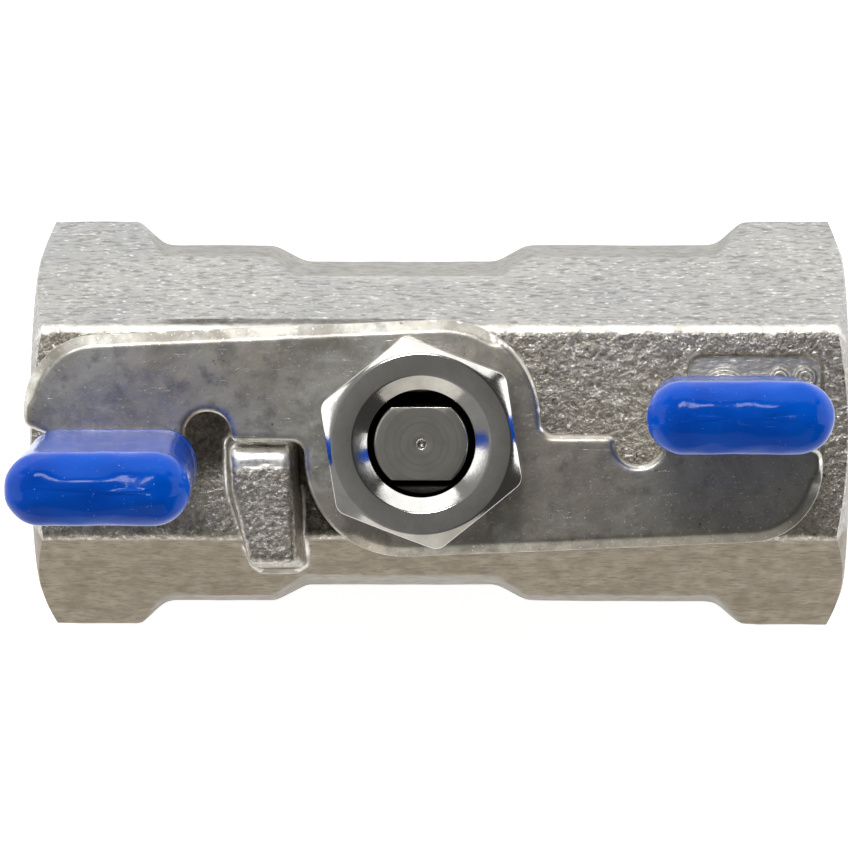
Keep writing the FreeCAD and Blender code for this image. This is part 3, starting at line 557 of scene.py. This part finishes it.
def cast_heights(points):
    """Unevenness of the cast skin, in millimetres."""
    x, y, z = points.T
    rough = smoothstep(z, 12.2, 12.8)
    waves = 0.05 * noise_at(points, 5.0, 1) + 0.022 * noise_at(points, (2.2, 0.9, 0.9), 2)
    pebbles = 0.032 * noise_at(points, 0.62, 3, 3)
    in_panel = (x > PANEL_LOW[0]) & (x < PANEL_HIGH[0]) & (y > PANEL_LOW[1]) & (y < PANEL_HIGH[1])
    pebbles *= np.where(in_panel & (z > 10), 0.45, 1.0)
    edge = np.exp(-((np.abs(y) - EDGE_Y) / 0.45) ** 2) * smoothstep(z, 11.8, 12.5)
    ragged = 0.05 * noise_at(points, (1.1, 0.8, 0.8), 4, 2)
    return waves + pebbles * rough + ragged * edge


def port_cutter(end, inner, outward):
    """Threaded bore from beyond an end face to its inner end; the mouth is a cone."""
    count = 160
    stations = np.arange(0, abs(end - inner) + 1.0, 0.11)
    x = (end + outward * (1.0 - stations))[:, None]
    depth_in = outward * (end - x)
    cone = PORT_MOUTH_R - depth_in
    fade = smoothstep(abs(end - inner) - depth_in, 0.6, 2.4)
    turns = x / PORT_PITCH - angles_of(count)[None, :] / (2 * math.pi)
    radius = np.maximum(cone, PORT_MINOR_R + PORT_THREAD_DEPTH * fade * thread_wave(turns))
    rings = turned(radius, np.repeat(x, count, 1), "x")
    return ring_object("port", rings, capped=("start", "end"))


def panel_heights(x, y):
    """Height of the sunken panel and its rings against the top flat, and the rings' rims from 0 to 1."""
    offset = np.abs(np.stack([x, y], -1) - PANEL_MIDDLE) - (PANEL_HALF - PANEL_CORNER)
    past_corner = np.linalg.norm(np.maximum(offset, 0), axis=-1)
    outside = past_corner + np.minimum(offset.max(-1), 0) - PANEL_CORNER
    height = -PANEL_DEPTH * smoothstep(-outside, -0.12, 0.22)
    rims = np.zeros(len(x))
    for ring_x, ring_y, radius in PANEL_RINGS:
        away = np.abs(np.hypot(x - ring_x, y - ring_y) - radius + RING_HALF_WIDTH)
        groove = 0.45 * np.exp(-(away / 0.05) ** 2)
        rims = np.maximum(rims, smoothstep(-away, -0.34, -0.16) - groove)
    return height + RING_HEIGHT * rims, rims


def carve_panel(body):
    """Finer mesh and crisp relief where the panel lies."""
    low, high, lowest = PANEL_LOW - 0.5, PANEL_HIGH + 0.5, HALF_FLATS - 0.9
    fine = bmesh.new()
    fine.from_mesh(body.data)
    edges = [edge for edge in fine.edges if all(
        v.co.z > lowest and low[0] < v.co.x < high[0] and low[1] < v.co.y < high[1]
        for v in edge.verts)]
    bmesh.ops.subdivide_edges(fine, edges=edges, cuts=2, use_grid_fill=True)
    fine.to_mesh(body.data)
    fine.free()
    points = points_of(body.data)
    x, y, z = points.T
    near = (z > lowest) & (x > low[0]) & (x < high[0]) & (y > low[1]) & (y < high[1])
    height, _ = panel_heights(x[near], y[near])
    points[near, 2] = HALF_FLATS + height
    move_points(body.data, points)


def soften_steps(body):
    """Large cast radii where the waist steps in and out, away from the top flat, and on the lug's nose."""
    x, y, z = points_of(body.data).T
    weights = band(x, -21.6, 24.6, 1.0) * smoothstep(-z, -11.6, -10.6)
    weights *= 1 - band(x, LUG_FROM - 0.5, LUG_TO + 0.5, 1.0) * (y < -5)
    nose = smoothstep(y, -3.0, -2.0) * smoothstep(z, 15.5, 16.5) * (y < 2) * (x < LUG_TO) * (x > LUG_FROM)
    weights = np.maximum(weights, nose * 0.6)
    group = body.vertex_groups.new(name="steps")
    levels = 5
    for level in range(1, levels + 1):
        chosen = np.nonzero(np.round(weights * levels) == level)[0]
        group.add(chosen.tolist(), level / levels, "REPLACE")
    applied(body, "SMOOTH", factor=0.5, iterations=26, vertex_group="steps")


def cast_block():
    """The casting as it leaves the mould: solid, with softened steps, the panel and the cast skin."""
    plugs = [lathe_tool("plug", [(-27.0, 11.6), (29.0, 11.6)], "x", 64),
             lathe_tool("plug", [(4.0, 6.8), (BOSS_TOP, 6.8)], "z", 64)]
    prisms = [end_prism(LEFT_END - 1.2, LEFT_END + 2.2), end_prism(RIGHT_END - 2.2, RIGHT_END + 1.2)]
    body = joined("casting", [outer_shell(), *plugs, *prisms, flash_line(LUG_LINE, LUG_LINE_R)])
    applied(body, "REMESH", mode="VOXEL", voxel_size=VOXEL, adaptivity=0.0)
    applied(body, "SMOOTH", factor=0.5, iterations=2)
    soften_steps(body)
    carve_panel(body)
    displaced(body, cast_heights)
    points, off_floor = points_of(body.data), 0.004
    points[:, 1:] = np.clip(points[:, 1:], (cast_low.y, cast_low.z + off_floor), (cast_high.y, cast_high.z))
    move_points(body.data, points)
    return body


def make_casting():
    """Cast body, with its end faces, bores and threads machined."""
    body = cast_block()
    clear_r = 25
    reach = (clear_r - END_FACE_R) / END_SLOPE
    cut(body, "INTERSECT", lathe_tool("barrel", [
        (LEFT_END, END_FACE_R), (LEFT_END + reach, clear_r),
        (RIGHT_END - reach, clear_r), (RIGHT_END, END_FACE_R)], "x", 256))
    for tool in (lathe_tool("chamber", CHAMBER, "x", 128), port_cutter(LEFT_END, INLET_INNER, -1),
                 port_cutter(RIGHT_END, OUTLET_INNER, 1), lathe_tool("neck", NECK, "z", 128)):
        cut(body, "DIFFERENCE", tool)
    mark_casting(body.data)
    return piece(body, "cast_body", "valve_body", [CAST, MACHINED], ["body_casting"])


def machined_faces(mesh):
    """1 for faces of the bores, the end cones and the boss's mouth, 0 for the rest."""
    centres = np.zeros(len(mesh.polygons) * 3)
    mesh.polygons.foreach_get("center", centres)
    x, y, z = centres.reshape(-1, 3).T
    radius, from_stem = np.hypot(y, z), np.hypot(x, y)
    cone = np.minimum(x - LEFT_END, RIGHT_END - x) * END_SLOPE - (radius - END_FACE_R)
    machined = (radius < 11.3) & (z < BOSS_TOP - 5) | (cone < 0.04)
    machined |= (from_stem < BOSS_BORE_R + 0.05) | (from_stem < 7.3) & (z > BOSS_TOP - 0.1)
    return machined.astype(np.int32)


def distance_to_line(points, line):
    """Distance from each point to a line of straight spans."""
    nearest = np.full(len(points), np.inf)
    for start, end in zip(line, line[1:]):
        span = end - start
        share = np.clip((points - start) @ span / (span @ span), 0, 1)[:, None]
        nearest = np.minimum(nearest, np.linalg.norm(points - start - share * span, axis=1))
    return nearest


def wear_and_highlight_on(points):
    """Where the skin is painted bright: a painted highlight on the lug's nose and along the long edges,
    strongest on +Y, and rubbed-bright wear, partly painted highlight, on the parting line and panel.
    """
    x, y, z = points.T
    chips = np.array([noise.noise(p) for p in points * (0.9, 1.4, 1.4)])
    # Painted highlight on the lug's nose.
    nose = smoothstep(y + 0.35 * chips, -2.3, -1.8) * smoothstep(z, 16.5, 18.0) * (x < LUG_TO - 1)
    # Painted highlight along the long edges: strong on +Y, which faces the window light, faint on -Y.
    from_edge = (np.abs(y) - EDGE_Y + 0.05) / (0.26 + 0.12 * chips)
    edge_highlight = np.exp(-from_edge ** 2) * smoothstep(z, 12.5, 12.7) * (z < 13.3)
    edge_highlight *= np.where(y > 0, 0.85 + 0.3 * chips, 0.12)
    close = (x < LUG_TO - 1) & (x > LUG_FROM + 1) & (y < 0) & (z < 14)
    bead = np.zeros(len(points))
    bead[close] = smoothstep(-distance_to_line(points[close], LUG_LINE), -0.34, -0.22)
    bead *= 0.75 + 0.4 * chips
    _, rings = panel_heights(x, y)
    offset = np.abs(points[:, :2] - PANEL_MIDDLE) - PANEL_HALF
    panel = 0.35 * smoothstep(-offset.max(axis=1), 0.1, 0.4) + rings * 0.5
    return np.maximum.reduce([nose, edge_highlight, bead, panel * (z > HALF_FLATS - 0.7)])


def painted_shade_on(points):
    """Painted shade on the top flat: in the handle's slot, beside the lug and under the handle, where the
    gaps lie in shadow.
    """
    x, y, z = points.T
    slot = smoothstep(x, -19.5, -17.5) * smoothstep(-x, 14.0, 14.2) * smoothstep(y, -5.0, -1.5)
    gap = smoothstep(x, -9.4, -8.7) * smoothstep(-x, -2.0, 3.0) * smoothstep(y, -7.45, -7.0)
    under = smoothstep(y, 0.0, 0.8) * (np.hypot(x, y) < 17)
    grime = np.maximum.reduce([slot * 0.8, gap * 0.9 * (y < 0), under * 0.6 * (x < 0)])
    return grime * (z > 12) * smoothstep(-z, -13.6, -13.2)


def mark_casting(mesh):
    """Material of the machined faces, and where the skin is as cast, rubbed bright with painted highlight,
    painted with shade on upright walls, and painted with shade in gaps.
    """
    mesh.polygons.foreach_set("material_index", machined_faces(mesh))
    points, normals = points_of(mesh), points_of(mesh, "normal")
    x, y, z = points.T
    slant = -y * math.cos(math.pi / 6) + z * math.sin(math.pi / 6)
    on_lug = smoothstep(slant, HALF_FLATS + 0.15, HALF_FLATS + 0.35) * (y < 0) * (x < LUG_TO) * (x > LUG_FROM)
    # Painted shade: the upright walls of the waist's relief strips, marked here for a darker colour.
    upright = smoothstep(-np.abs(normals[:, 2]), -0.44, -0.14) * (np.abs(y) > 11)
    marks = {"rough": np.maximum(smoothstep(z, 12.4, 12.85), on_lug), "worn": wear_and_highlight_on(points),
             "wall": upright * band(x, -21, 24, 1), "grime": painted_shade_on(points)}
    for name, values in marks.items():
        values = np.clip(values, 0, 1).astype(np.float32)
        mesh.attributes.new(name, "FLOAT", "POINT").data.foreach_set("value", values)


make_casting()

# ---------------------------------------------------------------- handle plate and sleeves


PLATE_TOP = box_mm("handle_plate")[0].z + 2.0
PLATE_MIDDLE = PLATE_TOP - 1.0
WING_HALF_X, WING_HALF_Y, WING_CORNER, WING_TOP = 4.85, 1.06, 0.2, 39.7
WING_Y, WING_LEAN = 1.85, math.tan(math.radians(1.8))
SLEEVE_HALF_Y, SLEEVE_CROWN, SLEEVE_TAPER = 2.575, 2.5, 0.6


def roll_edges(plate):
    """Give the top of the plate the soft fall towards its outline that stamping leaves.

    It presses both wings down to the top too, so no metal stands inside the sleeves.
    """
    points, normals = points_of(plate.data), points_of(plate.data, "normal")
    wall = points[(np.abs(points[:, 2] - PLATE_MIDDLE) < 0.2) & (np.abs(normals[:, 2]) < 0.3)]
    tree = KDTree(len(wall))
    for i, (x, y, _) in enumerate(wall):
        tree.insert((x, y, 0), i)
    tree.balance()
    upper = np.nonzero(points[:, 2] > PLATE_MIDDLE + 0.25)[0]
    x, y, z = points[upper].T
    distance = np.array([tree.find((a, b, 0))[2] for a, b in zip(x, y)])
    inward = np.where(x < 0, y, -y)
    outer = np.maximum(smoothstep(inward, 1.8, 3.2), smoothstep(-np.abs(x), -6.0, -4.5))
    away = np.maximum(0.35 + 0.5 * outer - distance, 0)
    slope, onset = 0.68, 0.14
    fall = slope * (away - onset * (1 - np.exp(-away / onset)))
    points[upper, 2] = np.minimum(z, PLATE_TOP - fall)
    move_points(plate.data, points)


def make_plate():
    """Stamped lever, on the CAD's own shape up to its top; roll_edges flattens the wings."""
    mesh = cad_copy("handle_plate")
    plate, exact = placed("plate", mesh), placed("exact", mesh)
    applied(plate, "REMESH", mode="VOXEL", voxel_size=0.14, adaptivity=0.0)
    applied(plate, "SHRINKWRAP", target=exact, wrap_method="NEAREST_SURFACEPOINT")
    bpy.data.objects.remove(exact)
    applied(plate, "SMOOTH", factor=0.5, iterations=4)
    roll_edges(plate)
    applied(plate, "SMOOTH", factor=0.5, iterations=2)
    displaced(plate, lambda p: 0.03 * noise_at(p, 3.5, 11) + 0.012 * noise_at(p, 1.1, 12))
    return piece(plate, "handle_arms", "handle", [PLATE], ["handle_plate"], 60)


def rounded_outline(half_x, half_y, corner, count=128):
    """Points evenly round a rectangle with rounded corners."""
    corner = min(corner, half_x - 1e-3, half_y - 1e-3)
    dense = []
    for k, (sx, sy) in enumerate(((1, 1), (-1, 1), (-1, -1), (1, -1))):
        for step in np.linspace(0, math.pi / 2, 24):
            turn = k * math.pi / 2 + step
            dense.append((sx * (half_x - corner) + corner * math.cos(turn),
                          sy * (half_y - corner) + corner * math.sin(turn)))
    dense = np.array(dense + dense[:1])
    travel = np.concatenate([[0], np.cumsum(np.linalg.norm(np.diff(dense, axis=0), axis=1))])
    wanted = np.linspace(0, travel[-1], count, endpoint=False)
    return np.stack([np.interp(wanted, travel, dense[:, i]) for i in (0, 1)], -1)


def outline_rings(layers):
    """Rings from layers of (z, half x, half y, corner)."""
    rings = []
    for z, half_x, half_y, corner in layers:
        outline = rounded_outline(half_x, half_y, corner)
        rings.append(np.column_stack([outline, np.full(len(outline), z)]))
    return np.array(rings)


def sleeve_shell(half_x, bottom, top):
    """Rings from the hollow's roof down to the lip, then up the outside to the crown."""
    shoulder, half_y = top - SLEEVE_CROWN, SLEEVE_HALF_Y
    wing = (WING_HALF_X, WING_HALF_Y, WING_CORNER)
    roof_to_lip = [(z, *wing) for z in np.linspace(WING_TOP, bottom + 0.6, 12)]
    layers = [(bottom + 0.02, *wing), (bottom, 5.3, 1.5, 1.0),
              (bottom, 6.0, 2.2, 2.2), (bottom + 0.12, half_x - 0.1, half_y - 0.1, half_y - 0.1),
              (bottom + 0.4, half_x, half_y, half_y)]
    layers += [(z, half_x, half_y, half_y) for z in np.linspace(bottom + 1, shoulder, 40)]
    for turn in np.linspace(0.06, math.pi / 2 - 0.02, 22):
        inset = SLEEVE_CROWN * (1 - math.cos(turn))
        z = shoulder + SLEEVE_CROWN * math.sin(turn)
        layers.append((z, half_x - inset, half_y - inset, half_y - inset))
    outer = outline_rings(layers)
    depth = smoothstep(shoulder - outer[..., 2], 0, 15)
    outer[..., 0] += SLEEVE_TAPER * depth * np.clip(-outer[..., 0] / half_x, 0, 1)
    return np.concatenate([outline_rings(roof_to_lip), outer])


def make_sleeve(node, name, side, seed):
    """Dipped coat round one wing: crowned top, soft lumps, rolled lip at the foot, hollow for the metal."""
    low, high = box_mm(node)
    bottom, top = low.z, high.z
    shell = sleeve_shell((high.x - low.x) / 2, bottom, top)
    shell[..., 1] += WING_Y + (shell[..., 2] - PLATE_TOP) * WING_LEAN
    shell[..., 0] += abs(low.x + high.x) / 2
    if side < 0:
        shell[..., :2] *= -1
    sleeve = ring_object(name, shell, capped=("start", "end"))

    def lumps(points):
        skin = smoothstep(points[:, 2], bottom + 0.3, bottom + 2.0)
        crest = smoothstep(points[:, 2], top - 3.5, top - 0.5)
        swell = 0.05 * noise_at(points, (3.4, 2.4, 4.0), seed)
        swell += 0.11 * noise_at(points, (1.9, 1.2, 1.4), seed + 1) * crest
        return (swell - 0.10) * skin

    displaced(sleeve, lumps)
    return piece(sleeve, name, "handle", [VINYL], [node], 70)


make_plate()
make_sleeve("wing_sleeve_right", "sleeve_right", 1, 31)
make_sleeve("wing_sleeve_left", "sleeve_left", -1, 45)

# ---------------------------------------------------------------- nut, stem and gland

THREAD_PITCH, THREAD_STEP = 1.25, 0.09
NUT_HALF_FLATS, NUT_TURN, NUT_SEAT_R, NUT_CHAMFER_R = 6.5, math.radians(39), 4.75, 6.2
NUT_BORE_R, NUT_SINK_R, NUT_SINK = 3.74, 4.77, 0.64
STEM_R, STEM_HALF_FLAT, STEM_SHOULDER_R = 3.95, 2.52, 5.55
STEM_FACE_R, STEM_PILOT_R, STEM_CREST_R = 3.13, 3.26, 3.85
BLADE = [(8.3, 1.55, 3.7), (6.3, 1.55, 3.7), (5.95, 1.3, 3.4)]   # height, half x, half y
GLAND_INNER_R, GLAND_NECK_R, GLAND_FLANGE = 4.06, 5.9, 2.15


def hexagon_radius(angles, half_flats, turn, corner=0.22):
    """Distance from the axis to a hexagon with softly rounded corners."""
    sector = (angles - turn + math.pi / 6) % (math.pi / 3) - math.pi / 6
    flat = half_flats / np.cos(math.pi / 6 - np.abs(sector))
    rounded = half_flats / math.cos(math.pi / 6) - corner * 0.65
    blend = 0.12
    mix = np.clip(0.5 + 0.5 * (flat - rounded) / blend, 0, 1)
    return flat * (1 - mix) + rounded * mix - blend * mix * (1 - mix)


def darken(obj, inner, outer, height):
    """Paint shade: give the faces between two radii and below a height the second, near-black material of the
    piece.
    """
    for face in obj.data.polygons:
        x, y, z = TO_AXIS @ face.center
        face.material_index = int(inner < math.hypot(x, y) < outer and z < height)


def make_nut():
    """Hexagon nut with chamfered corners, a countersink and a thread."""
    low, high = box_mm("handle_nut")
    bottom, top, sunk = low.z, high.z, high.z - NUT_SINK
    angles = angles_of(360)
    outer = hexagon_radius(angles, NUT_HALF_FLATS, NUT_TURN)
    ring = np.ones_like(angles)
    chamfer = (outer - NUT_CHAMFER_R) * math.tan(math.radians(30))
    corners = np.array([np.stack([r * ring, z * ring], -1) for r, z in (
        (NUT_BORE_R, bottom + 1.0), (NUT_SEAT_R, bottom), (NUT_CHAMFER_R, bottom),
        (outer, bottom + chamfer), (outer, top - chamfer),
        (NUT_CHAMFER_R, top), (NUT_SINK_R, top), (NUT_BORE_R, sunk))])
    profile = softened(corners, 0.09, 4)
    outside = turned(profile[..., 0], profile[..., 1])
    z = np.arange(sunk - 0.05, bottom + 1.0, -THREAD_STEP)[:, None]
    fade = smoothstep(sunk - z, 0.0, 0.5)
    turns = z / THREAD_PITCH - angles[None, :] / (2 * math.pi)
    radius = NUT_BORE_R + 0.28 * fade * thread_wave(turns)
    inside = turned(radius, np.repeat(z, len(angles), 1))
    nut = ring_object("nut", np.concatenate([outside, inside]), closed=True)
    piece(nut, "hex_nut", "handle", [NUT, SHADED_THREAD], ["handle_nut"], 30)
    # Painted shade down the nut's bore.
    darken(nut, 0, NUT_BORE_R + 0.35, sunk)


def make_stem():
    """Threaded stem end with two flats, its round shank and shoulder, and the blade in the ball's slot."""
    top = box_mm("stem")[1].z
    angles = angles_of(360)
    ring = np.ones_like(angles)
    across = STEM_HALF_FLAT / np.maximum(np.abs(np.sin(angles)), 1e-3)

    def clipped(radius):
        """A circle cut off by the two flats."""
        return np.minimum(radius * ring, across)

    face, pilot, crest = clipped(STEM_FACE_R), clipped(STEM_PILOT_R), clipped(STEM_CREST_R)
    corners = np.array([np.stack([r * ring, z * ring], -1) for r, z in (
        (0.02, top - 0.32), (0.16, top - 0.3), (0.36, top), (0.8, top), (1.4, top), (2.0, top),
        (2.4, top), (face, top),
        (pilot, top - 0.12), (pilot, top - 1.1), (crest, top - 1.7), (crest, top - 1.75))])
    profile = softened(corners, 0.05, 4)
    upper = turned(profile[..., 0], profile[..., 1])
    z = np.arange(top - 1.8, 20.0, -THREAD_STEP)[:, None]
    turns = z / THREAD_PITCH - angles[None, :] / (2 * math.pi)
    fade = smoothstep(z, 20.2, 21.4)
    threaded = np.minimum(3.88 - 0.5 * fade * (1 - thread_wave(turns)), across[None, :])
    middle = turned(threaded, np.repeat(z, len(angles), 1))
    flats, shank, shoulder = clipped(STEM_R), STEM_R * ring, STEM_SHOULDER_R * ring
    rows = [(flats, 19.9), (flats, 18.9), (shank, 18.9), (shank, 9.2), (shoulder, 9.2), (shoulder, 8.15),
            (ring, 8.15)]
    lower = turned(np.array([r for r, _ in rows]), np.array([h * ring for _, h in rows]))
    shaft = ring_object("shaft", np.concatenate([upper, middle, lower]), capped=("start", "end"))
    blade = ring_object("blade", np.array([
        np.column_stack([rounded_outline(a, b, 0.4, 64), np.full(64, h)]) for h, a, b in BLADE]),
        capped=("start", "end"))
    stem = piece(joined("stem", [shaft, blade]), "stem_end", "handle", [STEM, SHADED_THREAD],
                 ["stem"], 30)
    # Painted shade on the stem's sides below its face.
    darken(stem, 1.0, 4.0, top - 0.14)


def make_gland():
    """Collar on the packing: a wide flange over a neck that reaches down into the boss."""
    low, high = box_mm("gland_ring")
    inner, outer, bottom, top = GLAND_INNER_R, (high.x - low.x) / 2, low.z, high.z
    corners = np.array([[(r, z)] * 160 for r, z in (
        (inner, bottom + 0.3), (inner + 0.3, bottom), (GLAND_NECK_R, bottom),
        (GLAND_NECK_R, top - GLAND_FLANGE), (outer, top - GLAND_FLANGE),
        (outer, top - 0.35), (outer - 0.35, top), (inner + 0.3, top), (inner, top - 0.3))], float)
    profile = softened(corners, 0.1, 3)
    gland = ring_object("gland", turned(profile[..., 0], profile[..., 1]), closed=True)
    return piece(gland, "gland_collar", "valve_body", [GLAND], ["gland_ring"], 30)


make_nut()
make_stem()
make_gland()

# ---------------------------------------------------------------- CAD pieces that show as they are

for node_names, material in (
        (("end_insert",), INSERT), (("ball",), BALL),
        (("seat_inlet", "seat_outlet", "stem_thrust_washer", "packing_ring_lower", "packing_ring_middle",
          "packing_ring_upper"), PTFE)):
    for node_name in node_names:
        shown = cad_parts[node_name]
        shown.data.materials.clear()
        shown.data.materials.append(material)

# ---------------------------------------------------------------- floor, light and camera

TARGET = Vector((-0.26, -0.07, AXIS_HEIGHT)) * 0.001
DISTANCE, LENS, FILM = 0.395, 226.7, 36
LEAN_X, LEAN_Y = math.radians(0.95), math.radians(3.0)   # the view's lean off the vertical


def make_floor():
    """White table, far wider than the view."""
    size = 3.0
    floor = mesh_object("studio_floor", [(x * size, y * size, 0) for x, y in (
        (-1, -1), (1, -1), (1, 1), (-1, 1))], [(0, 1, 2, 3)])
    floor.data.materials.append(floor_finish())


def softbox(name, place, size, radiance, colour=(1, 1, 1)):
    """Rectangular area light that faces the valve; its radiance is that of a white surface at 1."""
    light = bpy.data.lights.new(name, "AREA")
    light.shape = "RECTANGLE"
    light.size, light.size_y = size
    light.energy = radiance * math.pi * size[0] * size[1]
    light.color = colour
    lamp = bpy.data.objects.new(name, light)
    lamp.location = place
    lamp.rotation_euler = (TARGET - Vector(place)).to_track_quat("-Z", "Y").to_euler()
    bpy.context.scene.collection.objects.link(lamp)


def make_light():
    """Studio boxes round the valve, and a world that is darker on the right."""
    softbox("window", (0.05, 1.0, 0.40), (1.6, 0.8), 1.5, (1.0, 0.995, 0.98))
    softbox("strip", (-0.08, 0.42, 0.79), (0.26, 0.15), 20.0)
    softbox("left", (-1.0, 0.2, 0.30), (0.9, 0.6), 1.6)
    softbox("right", (1.0, 0.2, 0.30), (0.9, 0.6), 2.0)
    softbox("bounce", (0.0, -1.0, 0.38), (1.4, 0.6), 0.6, (1.0, 0.95, 0.86))
    world = bpy.data.worlds.new("studio")
    world.use_nodes = True
    nodes, links = world.node_tree.nodes, world.node_tree.links
    background = nodes["Background"]
    background.inputs["Color"].default_value = (1.0, 0.985, 0.95, 1.0)
    parts, fade = nodes.new("ShaderNodeSeparateXYZ"), nodes.new("ShaderNodeMapRange")
    links.new(nodes.new("ShaderNodeTexCoord").outputs["Generated"], parts.inputs[0])
    links.new(parts.outputs["X"], fade.inputs["Value"])
    for key, value in {"From Min": -0.35, "From Max": 0.35, "To Min": 0.31, "To Max": 0.05}.items():
        fade.inputs[key].default_value = value
    links.new(fade.outputs[0], background.inputs["Strength"])
    bpy.context.scene.world = world


def make_camera():
    """The photo's view, from above with a slight lean."""
    away = Vector((math.sin(LEAN_X), math.sin(LEAN_Y), 0))
    away.z = math.sqrt(1 - away.length_squared)
    across = Vector((0, 1, 0)).cross(away).normalized()
    up = away.cross(across)
    data = bpy.data.cameras.new("camera")
    data.lens, data.sensor_width, data.sensor_height = LENS, FILM, FILM
    data.clip_start = 0.01
    camera = bpy.data.objects.new("camera", data)
    turn = Matrix((across, up, away)).transposed().to_4x4()
    camera.matrix_world = Matrix.Translation(TARGET + away * DISTANCE) @ turn
    bpy.context.scene.collection.objects.link(camera)
    bpy.context.scene.camera = camera
    bpy.context.scene.view_settings.view_transform = "Standard"


make_floor()
make_light()
make_camera()
